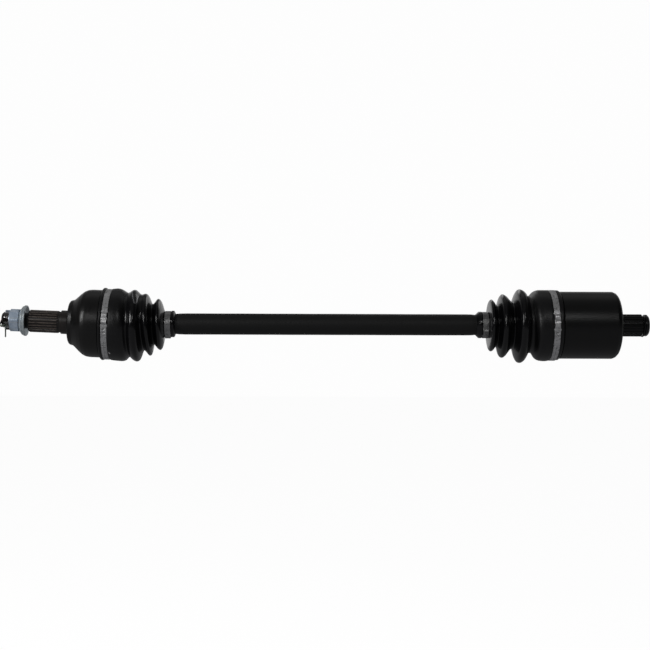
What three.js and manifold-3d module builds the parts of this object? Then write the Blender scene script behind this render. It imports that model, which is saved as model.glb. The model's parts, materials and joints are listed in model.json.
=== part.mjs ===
// CV axle (half-shaft) for a light off-road vehicle, millimetres, +Z up.
// +X runs along the bar towards the inboard (differential) end, -X is the wheel end.
// The origin is on the bar's axis at the middle of the axle's length.
// The wheel-end joint rests slightly bent: everything outboard of it is turned about
// the joint's centre by REST_TILT, and its cage and balls by half of that.
import * as THREE from 'three';
import { mergeVertices } from 'three/addons/utils/BufferGeometryUtils.js';
import Module from 'manifold-3d';

const wasm = await Module();
wasm.setup();

// ---------- driving dimensions ----------
const GAP = 0.3;               // clearance kept between neighbouring solids
const BAR_R = 12.7;            // 1 in solid bar
const OUT_C = -272;            // centre of the wheel-end (fixed ball) joint on the bar axis
const IN_C = 292;              // centre of the inboard (plunging ball) joint
const REST_TILT = 2.2;         // degrees, stub end up
const STUB_TIP = -387.5;       // end of the threaded stub
const INB_END = 386.5;         // end of the inboard stub

const BALL_R = 7.94;           // 5/8 in balls
const OUT_PITCH_R = 27.5;      // ball circle radius, wheel end
const IN_PITCH_R = 26.0;       // ball circle radius, inboard
const BELL_R = 40.5;           // wheel-end bell outside radius
const BELL_BORE_R = 30.9;      // spherical bore
const OUT_CAGE_RO = 30.2, OUT_CAGE_RI = 24.9;
const OUT_RACE_R = 24.4;
const CUP_R = 40.2;            // inboard cup outside radius
const CUP_BORE_R = 30.4;
const IN_CAGE_RO = 29.9, IN_CAGE_RI = 24.2;
const IN_RACE_R = 23.7;
const CAGE_HALF = 13.5;        // half width of both cages
const RACE_HALF = 12;          // half width of both inner races
const WINDOW_X = 16.7, WINDOW_T = 19;    // cage windows

const SPLINE_N = 24;           // both stubs
const SPLINE_RO = 13.4, SPLINE_RI = 12.3;
const BAR_SPLINE_N = 16, BAR_SPLINE_RO = 10.7, BAR_SPLINE_RI = 9.7;
const THREAD_R = 9.4;
const NUT_AF = 26.6;           // nut across flats
const CLAMP_W = 7.2;
const SEG = 24;                // facets round every turned surface, the same everywhere so that fits stay even

// ---------- helpers ----------
const rad = THREE.MathUtils.degToRad;

// closed three.js geometry -> solid
function solid(geometry) {
  const g = geometry.index ? geometry.clone() : geometry;
  g.deleteAttribute('normal');
  g.deleteAttribute('uv');
  const m = mergeVertices(g, 1e-4);
  const p = m.attributes.position.array, idx = m.index.array, keep = [];
  for (let i = 0; i < idx.length; i += 3) {
    const [a, b, c] = [idx[i], idx[i + 1], idx[i + 2]];
    if (a !== b && b !== c && c !== a) keep.push(a, b, c);
  }
  let v6 = 0;
  const P = (i) => new THREE.Vector3(p[3 * i], p[3 * i + 1], p[3 * i + 2]);
  for (let i = 0; i < keep.length; i += 3) v6 += P(keep[i]).dot(P(keep[i + 1]).cross(P(keep[i + 2])));
  if (v6 < 0) for (let i = 0; i < keep.length; i += 3) [keep[i + 1], keep[i + 2]] = [keep[i + 2], keep[i + 1]];
  return new wasm.Manifold(new wasm.Mesh({
    numProp: 3, vertProperties: new Float32Array(p), triVerts: new Uint32Array(keep),
  }));
}

function geometryOf(manifold) {
  const mesh = manifold.getMesh();
  const g = new THREE.BufferGeometry();
  g.setAttribute('position', new THREE.BufferAttribute(new Float32Array(mesh.vertProperties), 3));
  g.setIndex(new THREE.BufferAttribute(new Uint32Array(mesh.triVerts), 1));
  g.computeVertexNormals();
  return g;
}

// profile [[x, r], ...] revolved about the X axis; closed = ring that doesn't touch the axis
function latheGeometry(profile, segments, closed) {
  const pts = profile.map(([x, r]) => new THREE.Vector2(r, x));
  if (closed) pts.push(pts[0].clone());
  const g = new THREE.LatheGeometry(pts, segments);
  g.rotateZ(-Math.PI / 2);
  g.rotateX(Math.PI / segments);      // a facet, not an edge, faces straight up and down
  return g;
}
const turned = (profile, segments = SEG) => solid(latheGeometry(profile, segments, false));
const ring = (profile, segments = SEG) => solid(latheGeometry(profile, segments, true));

// shape in the YZ plane (u = Y, v = Z) pulled along +X from x0 by length
function pulled(points, x0, length) {
  const shape = new THREE.Shape(points.map(([y, z]) => new THREE.Vector2(y, z)));
  const g = new THREE.ExtrudeGeometry(shape, { depth: length, bevelEnabled: false });
  // extrusion axis Z -> X, shape x -> Y, shape y -> Z
  g.applyMatrix4(new THREE.Matrix4().set(0, 0, 1, x0, 1, 0, 0, 0, 0, 1, 0, 0, 0, 0, 0, 1));
  return solid(g);
}

// splined outline, V-shaped grooves between flat-topped teeth
function splineOutline(n, ro, ri) {
  const pts = [];
  for (let i = 0; i < n; i++) {
    const a = (i / n) * 2 * Math.PI, t = (2 * Math.PI) / n;
    for (const [f, r] of [[-0.5, ri], [-0.19, ro], [0.19, ro]])
      pts.push([r * Math.cos(a + f * t), r * Math.sin(a + f * t)]);
  }
  return pts;
}
const splined = (n, ro, ri, x0, length) => pulled(splineOutline(n, ro, ri), x0, length);

// flat C-shaped ring in the YZ plane, open by `open` degrees about the +Z direction
function cRing(ri, ro, open, x0, length, steps = 20) {
  const a0 = Math.PI / 2 + rad(open / 2), a1 = Math.PI / 2 + 2 * Math.PI - rad(open / 2), pts = [];
  for (let i = 0; i <= steps; i++) { const a = a0 + ((a1 - a0) * i) / steps; pts.push([ro * Math.cos(a), ro * Math.sin(a)]); }
  for (let i = steps; i >= 0; i--) { const a = a0 + ((a1 - a0) * i) / steps; pts.push([ri * Math.cos(a), ri * Math.sin(a)]); }
  return pulled(pts, x0, length);
}

function box(cx, cy, cz, sx, sy, sz, rotX = 0) {
  const g = new THREE.BoxGeometry(sx, sy, sz);
  g.translate(cx, cy, cz);
  if (rotX) g.rotateX(rad(rotX));
  return solid(g);
}

const cylinderAlong = (dir, centre, r, length, seg = 16) => {
  const g = new THREE.CylinderGeometry(r, r, length, seg);
  g.applyQuaternion(new THREE.Quaternion().setFromUnitVectors(new THREE.Vector3(0, 1, 0), dir));
  g.translate(centre.x, centre.y, centre.z);
  return solid(g);
};

// round wire along a smooth path, closed ends
function wire(points, r, steps = 24, sides = 8) {
  const shape = new THREE.Shape();
  for (let i = 0; i < sides; i++) {
    const a = (i / sides) * 2 * Math.PI;
    if (i) shape.lineTo(r * Math.cos(a), r * Math.sin(a)); else shape.moveTo(r, 0);
  }
  shape.closePath();
  const path = new THREE.CatmullRomCurve3(points, false, 'centripetal');
  return solid(new THREE.ExtrudeGeometry(shape, { extrudePath: path, steps, bevelEnabled: false }));
}

const arcProfile = (r, half, n) => {
  const a = Math.asin(half / r), pts = [];
  for (let i = 0; i <= n; i++) { const t = -a + (2 * a * i) / n; pts.push([r * Math.sin(t), r * Math.cos(t)]); }
  return pts;
};
const shifted = (pts, dx) => pts.map(([x, r]) => [x + dx, r]);

// meridional ball-track cutters: full rings of elliptical section, one per pair of opposite balls
function trackRings(centre, pitch, radial, across) {
  const k = 1 / Math.cos(Math.PI / 12);
  let all = null;
  for (let i = 0; i < 3; i++) {
    const g = new THREE.TorusGeometry(pitch, radial * k, 12, 28);   // lies in XY, hole along Z
    g.scale(1, 1, across / radial);
    g.rotateX(Math.PI / 2);                 // ring plane now XZ
    g.rotateX(rad(60 * i));
    g.translate(centre, 0, 0);
    const s = solid(g);
    all = all ? all.add(s) : s;
  }
  return all;
}

// straight ball tracks parallel to X
function trackBars(pitch, radial, across, x0, x1) {
  let all = null;
  for (let i = 0; i < 6; i++) {
    const g = new THREE.CylinderGeometry(1, 1, x1 - x0, 12);
    g.rotateZ(-Math.PI / 2);                // axis along X
    const k = 1 / Math.cos(Math.PI / 12);
    g.scale(1, across * k, radial * k);
    g.translate((x0 + x1) / 2, 0, pitch);
    g.rotateX(rad(60 * i));
    const s = solid(g);
    all = all ? all.add(s) : s;
  }
  return all;
}

function cage(centre, ri, ro) {
  let body = ring(shifted([...arcProfile(ro, CAGE_HALF, 4), ...arcProfile(ri, CAGE_HALF, 4).reverse()], centre));
  for (let i = 0; i < 6; i++) {
    const g = new THREE.BoxGeometry(WINDOW_X, WINDOW_T, 14);
    g.translate(centre, 0, (ri + ro) / 2);
    g.rotateX(rad(60 * i));
    body = body.subtract(solid(g));
  }
  return body;
}

function innerRace(centre, r, tracks) {
  const body = turned(shifted([[-RACE_HALF, 0], ...arcProfile(r, RACE_HALF, 5), [RACE_HALF, 0]], centre));
  const bore = splined(BAR_SPLINE_N, BAR_SPLINE_RO + GAP, BAR_SPLINE_RI + GAP, centre - RACE_HALF - 1, 2 * RACE_HALF + 2);
  return body.subtract(tracks).subtract(bore);
}

function ball(centre, pitch, i) {
  const g = new THREE.IcosahedronGeometry(BALL_R, 2);
  g.translate(0, 0, pitch);
  g.rotateX(rad(60 * i));
  g.translate(centre, 0, 0);
  return solid(g);
}

// band clamp with its crimped ear at `ear` degrees (0 = +Z, 90 = -Y side facing the viewer)
function clamp(x, ri, ro, ear, earLength, earHeight) {
  const band = ring([[x - CLAMP_W / 2, ri], [x + CLAMP_W / 2, ri], [x + CLAMP_W / 2, ro], [x - CLAMP_W / 2, ro]]);
  const base = ro - 0.5, h = earHeight + 0.5, L = earLength / 2;
  const drop = (u) => Math.sqrt(base * base - u * u) - base;
  const shape = new THREE.Shape([
    [-L, drop(L)], [-L / 2, drop(L / 2)], [0, 0], [L / 2, drop(L / 2)], [L, drop(L)],
    [L - 0.6, h * 0.55], [L - 2.2, h], [-L + 2.2, h], [-L + 0.6, h * 0.55],
  ].map(([u, v]) => new THREE.Vector2(u, v)));
  const g = new THREE.ExtrudeGeometry(shape, { depth: CLAMP_W - 0.8, bevelEnabled: false });
  g.applyMatrix4(new THREE.Matrix4().set(0, 0, 1, x - CLAMP_W / 2 + 0.4, 1, 0, 0, 0, 0, 1, 0, base, 0, 0, 0, 1));
  g.rotateX(rad(ear));
  // crimp notch across the ear's crown
  const n = new THREE.BoxGeometry(CLAMP_W + 2, earLength * 0.2, 1.4);
  n.translate(x, 0, base + h + 0.1);
  n.rotateX(rad(ear));
  return band.add(solid(g)).subtract(solid(n));
}

// ---------- materials ----------
const mat = (color, roughness, metalness) => new THREE.MeshStandardMaterial({ color, roughness, metalness });
const black = mat(0x17181a, 0.42, 0.6);
const rubber = mat(0x0c0c0e, 0.35, 0);
const zinc = mat(0x9aa6b4, 0.35, 0.9);
const band = mat(0x8b8d90, 0.3, 0.95);
const steel = mat(0x8a8a88, 0.25, 1);
const polished = mat(0xc8cacc, 0.1, 1);
const cageSteel = mat(0x55524e, 0.4, 0.9);
const wireSteel = mat(0x4c4e50, 0.4, 0.9);

const axle = new THREE.Group();
axle.name = 'cv_axle';

// everything turned about the wheel-end joint's centre hangs in one of these groups
function tiltGroup(degrees) {
  const g = new THREE.Group();
  g.position.set(OUT_C, 0, 0);
  g.rotation.set(0, rad(degrees), 0);
  const inner = new THREE.Group();
  inner.position.set(-OUT_C, 0, 0);
  g.add(inner);
  axle.add(g);
  return inner;
}
const wheelEnd = tiltGroup(REST_TILT);
const halfEnd = tiltGroup(REST_TILT / 2);

function place(name, shape, material, parent = axle) {
  const mesh = new THREE.Mesh(shape.getMesh ? geometryOf(shape) : shape, material);
  mesh.name = name;
  parent.add(mesh);
}

// ---------- wheel-end housing: bell, journal, splined and threaded stub ----------
{
  const L = OUT_C;
  const cavity = [];
  for (let i = 0; i <= 9; i++) {              // spherical bore from the back to just past the centre
    const a = Math.PI - ((Math.PI - Math.acos(8 / BELL_BORE_R)) * i) / 9;
    cavity.push([L + BELL_BORE_R * Math.cos(a), Math.max(0, BELL_BORE_R * Math.sin(a))]);
  }
  cavity[0][1] = 0;
  const profile = [
    [STUB_TIP, 0], [STUB_TIP, 7.6], [STUB_TIP + 1.9, THREAD_R], [-356.2, THREAD_R],
    [-355.4, SPLINE_RI], [-317.6, SPLINE_RI], [-316.8, 14.15], [-308, 14.15], [-306.6, 15.2],
    [-306.6, 25.2], [-305.2, 26.4], [-301.2, 27.5], [-298.8, 29.6], [-294, 34.3],
    [-289.4, 38.0], [-284.6, 40.0], [-280, BELL_R], [-268.1, BELL_R], [-267.7, 39.3],
    [-257.2, 39.3], [-256, 38.2], [-256, 34.2], [L + 10.5, 31.2],
    ...cavity.reverse(),
  ];
  let housing = turned(profile);
  housing = housing.subtract(trackRings(L, OUT_PITCH_R, 8.9, 11));
  const teeth = splined(SPLINE_N, SPLINE_RO, SPLINE_RI - 0.4, -355.4, 37.6);
  const trim = turned([[-356, 0], [-355.4, SPLINE_RI + 0.1], [-354.2, SPLINE_RO + 0.4], [-319.4, SPLINE_RO + 0.4], [-317.9, SPLINE_RI + 0.1], [-317.8, 0]], 24);
  housing = housing.add(teeth.intersect(trim));
  const pinDir = new THREE.Vector3(0, -Math.cos(rad(30)), -Math.sin(rad(30)));
  housing = housing.subtract(cylinderAlong(pinDir, new THREE.Vector3(-381.2, 0, 0), 2.1, 40, 16));
  place('outboard_housing', housing, black, wheelEnd);

  // castle nut, corner towards -Y, slots over the flats
  const hex = (r, a0) => Array.from({ length: 6 }, (_, i) => [r * Math.cos(rad(a0 + 60 * i)), r * Math.sin(rad(a0 + 60 * i))]);
  const corner = NUT_AF / 2 / Math.cos(rad(30));
  let nut = pulled(hex(corner, 0), -377.2, 10.6);
  nut = nut.intersect(turned([[-377.6, 0], [-377.6, 12.9], [-375.8, 15.6], [-367.6, 15.6], [-366.2, 14.4], [-366.2, 0]], 24));
  nut = nut.add(turned([[-384, 0], [-384, 10.9], [-383.2, 11.8], [-376, 11.8], [-376, 0]], 24));
  nut = nut.subtract(turned([[-385, 0], [-385, THREAD_R + GAP], [-365, THREAD_R + GAP], [-365, 0]], SEG));
  for (let i = 0; i < 3; i++) nut = nut.subtract(box(-381.6, 0, 0, 6.4, 40, 4.6, 30 + 60 * i));
  place('castle_nut', nut, zinc, wheelEnd);

  // two cupped washers, open towards the hub
  place('hub_washer_outer', ring([[-366.2 + GAP + 0.1, 9.9], [-365.8, 13.6], [-362.9, 17.3], [-361.4, 17.3], [-361.4, 16.4], [-364, 12.9], [-364, 9.9]]), zinc, wheelEnd);
  place('hub_washer_inner', ring([[-363.6, 9.9], [-363.6, 12.7], [-361, 16.2], [-361, 18.3], [-358.2, 18.3], [-358.2, 16.9], [-361.2, 12.4], [-361.2, 9.9]]), zinc, wheelEnd);

  // split pin through the nut's slots: body, eye, one leg down, one leg over the stub's end
  const c = new THREE.Vector3(-381.2, 0, 0);
  const at = (t, dx = 0, dz = 0) => c.clone().addScaledVector(pinDir, t).add(new THREE.Vector3(dx, 0, dz));
  let pin = cylinderAlong(pinDir, c.clone().addScaledVector(pinDir, 0.4), 1.7, 27.2, 12);
  const legDown = wire([at(12), at(14.2), at(15.4, 0, -0.9), at(15.6, 0, -3), at(15.2, 0.1, -6), at(14.6, 0.1, -9)], 0.95, 9, 6);
  const legOver = wire([at(12.4, -0.3), at(14.4, -0.5), at(15.4, -2.2), at(14.2, -6.2), at(11, -7.55), at(6.5, -7.6), at(2, -7.6)], 0.85, 11, 6);
  pin = pin.add(legDown).add(legOver);
  const eye = new THREE.TorusGeometry(2.2, 0.95, 6, 12);
  eye.applyQuaternion(new THREE.Quaternion().setFromUnitVectors(new THREE.Vector3(0, 1, 0), pinDir));
  const e = at(-15);
  eye.translate(e.x, e.y, e.z);
  pin = pin.add(solid(eye));
  place('cotter_pin', pin, wireSteel, wheelEnd);

  place('outboard_boot_clamp_large', clamp(-261, 41.3, 42.2, 81, 15, 2.4), band, wheelEnd);
}

// ---------- wheel-end joint internals ----------
place('outboard_cage', cage(OUT_C, OUT_CAGE_RI, OUT_CAGE_RO), cageSteel, halfEnd);
for (let i = 0; i < 6; i++) place(`outboard_ball_${i + 1}`, ball(OUT_C, OUT_PITCH_R, i), polished, halfEnd);
place('outboard_inner_race', innerRace(OUT_C, OUT_RACE_R, trackRings(OUT_C, OUT_PITCH_R, 8.9, 10.8)), steel);
place('outboard_race_circlip', cRing(9.3, 11.6, 50, OUT_C - RACE_HALF - GAP - 1.5, 1.5), wireSteel);

// ---------- bar, splined at both ends ----------
{
  const o = OUT_C, i = IN_C;
  const s = RACE_HALF + GAP;
  const clipO = o - s - 1.5, clipI = i + s;         // circlip positions
  let bar = turned([
    [o - 17.2, 0], [o - 17.2, 8.6], [o - 16.2, BAR_SPLINE_RI], [clipO - 0.35, BAR_SPLINE_RI], [clipO - 0.35, 9.0], [clipO + 1.85, 9.0], [clipO + 1.85, BAR_SPLINE_RI],
    [o + s, BAR_SPLINE_RI], [o + s, 11.3], [o + 32, 11.3], [o + 44, 12.0], [-196, 12.1], [-179.4, 12.1], [-175.5, 12.5], [-168, BAR_R],
    [168, BAR_R], [175.5, 12.5], [179.4, 12.1], [197, 12.1], [i - 62, 11.3], [i - s, 11.3], [i - s, BAR_SPLINE_RI],
    [clipI - 0.35, BAR_SPLINE_RI], [clipI - 0.35, 9.0], [clipI + 1.85, 9.0], [clipI + 1.85, BAR_SPLINE_RI], [i + 16.2, BAR_SPLINE_RI], [i + 17.2, 8.6], [i + 17.2, 0],
  ]);
  bar = bar.add(splined(BAR_SPLINE_N, BAR_SPLINE_RO, BAR_SPLINE_RI - 0.3, clipO + 1.85, 2 * RACE_HALF + 0.45));
  bar = bar.add(splined(BAR_SPLINE_N, BAR_SPLINE_RO, BAR_SPLINE_RI - 0.3, i - s - 0.2, 2 * RACE_HALF + 0.15));
  place('axle_bar', bar, black);
}

// ---------- inboard joint internals ----------
place('inboard_cage', cage(IN_C, IN_CAGE_RI, IN_CAGE_RO), cageSteel);
for (let i = 0; i < 6; i++) {
  // the inboard ball ring is turned so that one pair of balls lies on the bending axis
  const g = ball(IN_C, IN_PITCH_R, i).getMesh();
  const b = new THREE.BufferGeometry();
  b.setAttribute('position', new THREE.BufferAttribute(new Float32Array(g.vertProperties), 3));
  b.setIndex(new THREE.BufferAttribute(new Uint32Array(g.triVerts), 1));
  b.rotateX(rad(90));
  place(`inboard_ball_${i + 1}`, b, polished);
}

const turn90 = (geometry) => { geometry.rotateX(rad(90)); return geometry; };
{
  const m = axle.children.find((c) => c.name === 'inboard_cage');
  turn90(m.geometry);
  const race = innerRace(IN_C, IN_RACE_R, trackBars(IN_PITCH_R, 8.9, 8.9, IN_C - 20, IN_C + 20));
  place('inboard_inner_race', turn90(geometryOf(race)), steel);
}
place('inboard_race_circlip', cRing(9.3, 11.6, 50, IN_C + RACE_HALF + GAP, 1.5), wireSteel);

// ---------- inboard cup with its splined stub ----------
{
  const mouth = 256, floor = 336, face = 349;
  let cup = turned([
    [floor, 0], [floor, 24], [floor - 2, 28], [floor - 6, CUP_BORE_R], [262.2, CUP_BORE_R], [262.2, 32.2],
    [259.4, 32.2], [259.4, CUP_BORE_R], [mouth + 2.2, CUP_BORE_R], [mouth, 34.2], [mouth, 38.3], [mouth + 1, 39.2],
    [279.1, 39.2], [279.8, CUP_R], [343.8, CUP_R], [346.6, 38.9], [348.3, 37.0], [face, 34.6], [face, 14.2],
    [350, 13.4], [351.4, SPLINE_RI], [378.4, SPLINE_RI], [378.4, 10.5], [381.6, 10.5], [381.6, 12.9],
    [INB_END - 2, 12.9], [INB_END, 11.2], [INB_END, 0],
  ]);
  cup = cup.subtract(turn(trackBars(IN_PITCH_R, 8.9, 8.9, mouth - 4, floor - 4), 90));
  const teeth = splined(SPLINE_N, SPLINE_RO, SPLINE_RI - 0.4, 351.4, 26.8);
  cup = cup.add(teeth);
  place('inboard_housing', cup, black);
  place('inboard_wire_ring', cRing(29.95, 31.9, 24, 259.9, 1.8, 26), wireSteel);
  const clip = cRing(11.3, 13.6, 64, 379.1, 1.8);
  const cg = geometryOf(clip);
  cg.translate(0, 0, -0.4);
  place('stub_circlip', cg, wireSteel);
}

function turn(manifold, degrees) {
  const g = geometryOf(manifold);
  g.rotateX(rad(degrees));
  return solid(g);
}

// ---------- boots: closed bellows with an even wall, open at both ends ----------
function offsetProfile(outer, t) {
  // inner line: each point moved inwards along the profile's local normal
  return outer.map(([x, r], i) => {
    const a = outer[Math.max(0, i - 1)], b = outer[Math.min(outer.length - 1, i + 1)];
    const dx = b[0] - a[0], dr = b[1] - a[1], l = Math.hypot(dx, dr);
    return [x + (dr / l) * t, r - (dx / l) * t];
  });
}

{
  // wheel end: large cuff on the bell, three folds, small cuff on the bar
  const cuffIn = 39.3 + GAP, neckIn = 12.1 + GAP;
  const folds = [[-245, 43.2], [-240.6, 41.4], [-236, 38.3], [-230.6, 42.1], [-226.8, 42.3], [-219.3, 33.7], [-214.2, 37.0], [-210.8, 33.6], [-206.4, 24.7], [-200.4, 30.3], [-197.6, 28.6], [-194.6, 19.2]];
  const inner = offsetProfile(folds, 2);
  const profile = [
    [-265.7, cuffIn], [-267.3, 41.2], [-267.3, 42.6], [-266.6, 43.3], [-265.2, 43.3], [-264.9, 41], [-257.1, 41], [-256.7, 42.9], [-250, 43.6],
    ...folds,
    [-193, 14.4], [-184.4, 14.4], [-184, 15.9], [-181.4, 15.9], [-180, 13.6], [-180, neckIn],
    [-194.6, neckIn], [-196.4, 16.8],
    ...inner.slice(1, -1).reverse(),
    [-246.6, 41.2], [-252, 40.9], [-255.2, cuffIn],
  ];
  // solid neck: the folds' inner line stops where the small cuff begins
  const g = latheGeometry(profile, SEG, true);
  g.deleteAttribute('normal');
  g.deleteAttribute('uv');
  const p = g.attributes.position, v = new THREE.Vector3();
  for (let i = 0; i < p.count; i++) {
    v.fromBufferAttribute(p, i);
    // the bend spreads smoothly from the bell (full tilt) to the bar (none)
    const t = THREE.MathUtils.clamp((-196 - v.x) / (-196 + 255), 0, 1);
    const a = rad(REST_TILT) * t * t * (3 - 2 * t);
    const dx = v.x - OUT_C, dz = v.z;
    p.setXYZ(i, OUT_C + dx * Math.cos(a) + dz * Math.sin(a), v.y, -dx * Math.sin(a) + dz * Math.cos(a));
  }
  place('outboard_boot', solid(g), rubber);
}
{
  const cuffIn = 39.2 + GAP, neckIn = 12.1 + GAP;
  const folds = [[195.9, 26], [198.4, 31.0], [204, 25.1], [207.8, 34.6], [211.6, 38.0], [216, 34.8], [222.6, 28.7], [226.8, 39.2], [231.6, 44.0], [236.6, 41.5], [241.6, 34.5], [244.6, 34.6], [252, 41.4]];
  const inner = offsetProfile(folds, 2);
  const profile = [
    [181, neckIn], [181, 13.6], [182.4, 16], [186.8, 16], [187.2, 14.6], [194.9, 14.6],
    ...folds,
    [258, 42.5], [267.9, 42.4], [268.3, 41.0], [276.1, 41.0], [276.4, 41.9], [278.2, 41.6], [278.8, 40.4], [278.8, cuffIn],
    [257, cuffIn], [254.6, 39.6],
    ...inner.slice(1, -1).reverse(),
    [197, 18], [195.6, neckIn],
  ];
  place('inboard_boot', ring(profile), rubber);
}
place('outboard_boot_clamp_small', clamp(-188.6, 14.7, 15.5, 165, 8, 2.0), band);
place('inboard_boot_clamp_small', clamp(191, 14.9, 15.8, 125, 8, 1.7), band);
place('inboard_boot_clamp_large', clamp(272.2, 41.3, 42.3, 84, 17, 2.4), band);

export default axle;
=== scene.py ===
"""CV axle looks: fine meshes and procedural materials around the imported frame. Lengths in the helpers are millimetres."""

import bpy
import bmesh
import json
import math
import numpy as np
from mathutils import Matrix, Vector


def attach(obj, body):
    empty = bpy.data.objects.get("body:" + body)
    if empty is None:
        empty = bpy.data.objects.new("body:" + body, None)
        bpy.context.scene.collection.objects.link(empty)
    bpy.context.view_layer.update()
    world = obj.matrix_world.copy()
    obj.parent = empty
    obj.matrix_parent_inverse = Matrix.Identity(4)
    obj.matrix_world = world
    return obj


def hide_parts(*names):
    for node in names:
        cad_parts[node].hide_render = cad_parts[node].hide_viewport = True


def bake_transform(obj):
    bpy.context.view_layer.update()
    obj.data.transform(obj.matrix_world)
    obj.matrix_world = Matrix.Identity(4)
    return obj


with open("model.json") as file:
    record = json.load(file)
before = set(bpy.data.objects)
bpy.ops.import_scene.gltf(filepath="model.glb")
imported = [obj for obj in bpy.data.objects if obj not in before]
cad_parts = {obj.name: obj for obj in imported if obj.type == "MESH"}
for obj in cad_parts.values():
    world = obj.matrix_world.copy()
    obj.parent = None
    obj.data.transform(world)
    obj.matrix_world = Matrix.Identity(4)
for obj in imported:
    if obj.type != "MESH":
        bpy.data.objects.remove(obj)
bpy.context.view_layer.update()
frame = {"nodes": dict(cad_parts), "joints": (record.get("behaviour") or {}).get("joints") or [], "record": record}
record = frame["record"]
MM = 0.001

# ------------------------------------------------------------------ frame facts
joint = {j["name"]: j for j in frame["joints"]}
OUT_C = joint["outboard_tilt"]["pos_m"][0] * 1000          # centre of the wheel-end joint
IN_C = joint["inboard_bend"]["pos_m"][0] * 1000            # centre of the inboard joint
_ax = joint["outboard_steer"]["axis"]
TILT = 2 * math.atan2(_ax[0], _ax[2])                      # rest bend of the wheel end, radians


def tilt(V, share=1.0):
    """Straight wheel-end coordinates -> row frame: turned about +Y at the joint's centre."""
    V = np.array(V, float)
    a = TILT * share
    dx, z = V[..., 0] - OUT_C, V[..., 2]
    out = V.copy()
    out[..., 0] = OUT_C + dx * math.cos(a) + z * math.sin(a)
    out[..., 2] = -dx * math.sin(a) + z * math.cos(a)
    return out


# ------------------------------------------------------------------ mesh helpers
def rounded(pts, n=5, hold=0.0):
    """Polyline [(x, r) or (x, r, fillet)] with its corners turned into arcs."""
    P = [np.array(p[:2], float) for p in pts]
    f = [p[2] if len(p) > 2 else 0.0 for p in pts]
    out = [P[0]]
    for i in range(1, len(P) - 1):
        a, b, c = P[i - 1], P[i], P[i + 1]
        if f[i] <= 0:
            out.append(b)
            continue
        u, v = a - b, c - b
        lu, lv = np.linalg.norm(u), np.linalg.norm(v)
        u, v = u / lu, v / lv
        cosang = max(-1.0, min(1.0, float(u @ v)))
        half = math.acos(cosang) / 2
        d = min(f[i] / max(math.tan(half), 1e-6), 0.46 * lu, 0.46 * lv)
        r = d * math.tan(half)
        if d < 1e-4 or half > 1.55:
            out.append(b)
            continue
        w = (u + v) / np.linalg.norm(u + v)
        centre = b + w * (r / math.sin(half))
        s, e = b + u * d - centre, b + v * d - centre
        tot = math.acos(max(-1.0, min(1.0, float(s @ e) / (np.linalg.norm(s) * np.linalg.norm(e)))))
        if hold and d + hold < 0.49 * lu:
            out.append(b + u * (d + hold))
        for k in range(n + 1):
            t = k / n
            out.append(centre + (s * math.sin((1 - t) * tot) + e * math.sin(t * tot)) / max(math.sin(tot), 1e-9))
        if hold and d + hold < 0.49 * lv:
            out.append(b + v * (d + hold))
    out.append(P[-1])
    keep = [out[0]]
    for p in out[1:]:
        if np.linalg.norm(p - keep[-1]) > 1e-4:
            keep.append(p)
    return np.array(keep)


def dense(P, step):
    """Extra points along a polyline so that no stretch is longer than step."""
    P = np.asarray(P, float)
    out = [P[0]]
    for a, b in zip(P[:-1], P[1:]):
        m = max(1, int(math.ceil(np.linalg.norm(b - a) / step)))
        for k in range(1, m + 1):
            out.append(a + (b - a) * k / m)
    return np.array(out)


def smooth(keys, per=6):
    """Centripetal Catmull-Rom through rows of keys (any number of columns)."""
    K = np.asarray(keys, float)
    K = np.vstack([2 * K[0] - K[1], K, 2 * K[-1] - K[-2]])
    out = []
    for i in range(1, len(K) - 2):
        p0, p1, p2, p3 = K[i - 1], K[i], K[i + 1], K[i + 2]
        t0 = 0.0
        t1 = t0 + max(np.linalg.norm(p1 - p0), 1e-6) ** 0.5
        t2 = t1 + max(np.linalg.norm(p2 - p1), 1e-6) ** 0.5
        t3 = t2 + max(np.linalg.norm(p3 - p2), 1e-6) ** 0.5
        for k in range(per):
            t = t1 + (t2 - t1) * k / per
            a1 = (t1 - t) / (t1 - t0) * p0 + (t - t0) / (t1 - t0) * p1
            a2 = (t2 - t) / (t2 - t1) * p1 + (t - t1) / (t2 - t1) * p2
            a3 = (t3 - t) / (t3 - t2) * p2 + (t - t2) / (t3 - t2) * p3
            b1 = (t2 - t) / (t2 - t0) * a1 + (t - t0) / (t2 - t0) * a2
            b2 = (t3 - t) / (t3 - t1) * a2 + (t - t1) / (t3 - t1) * a3
            out.append((t2 - t) / (t2 - t1) * b1 + (t - t1) / (t2 - t1) * b2)
    out.append(K[-2])
    return np.array(out)


def place(X, R, T):
    """(x, radius, angle) -> points. Angle 0 is +Z, 90 degrees is -Y."""
    return np.stack([X, -R * np.sin(T), R * np.cos(T)], -1)


def sstep(a, b, x):
    t = np.clip((np.asarray(x, float) - a) / (b - a), 0, 1)
    return t * t * (3 - 2 * t)


def grid_faces(k, n, closed_k, closed_n, base=0):
    i = np.arange(k if closed_k else k - 1)
    j = np.arange(n if closed_n else n - 1)
    I, J = np.meshgrid(i, j, indexing="ij")
    I2, J2 = (I + 1) % k, (J + 1) % n
    return (np.stack([I * n + J, I * n + J2, I2 * n + J2, I2 * n + J], -1).reshape(-1, 4) + base).tolist()


def volume(V, F):
    total = 0.0
    V = np.asarray(V)
    tris = []
    for f in F:
        for k in range(1, len(f) - 1):
            tris.append((f[0], f[k], f[k + 1]))
    t = V[np.array(tris)]
    return float(np.einsum("ij,ij->i", t[:, 0], np.cross(t[:, 1], t[:, 2])).sum()) / 6


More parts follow.
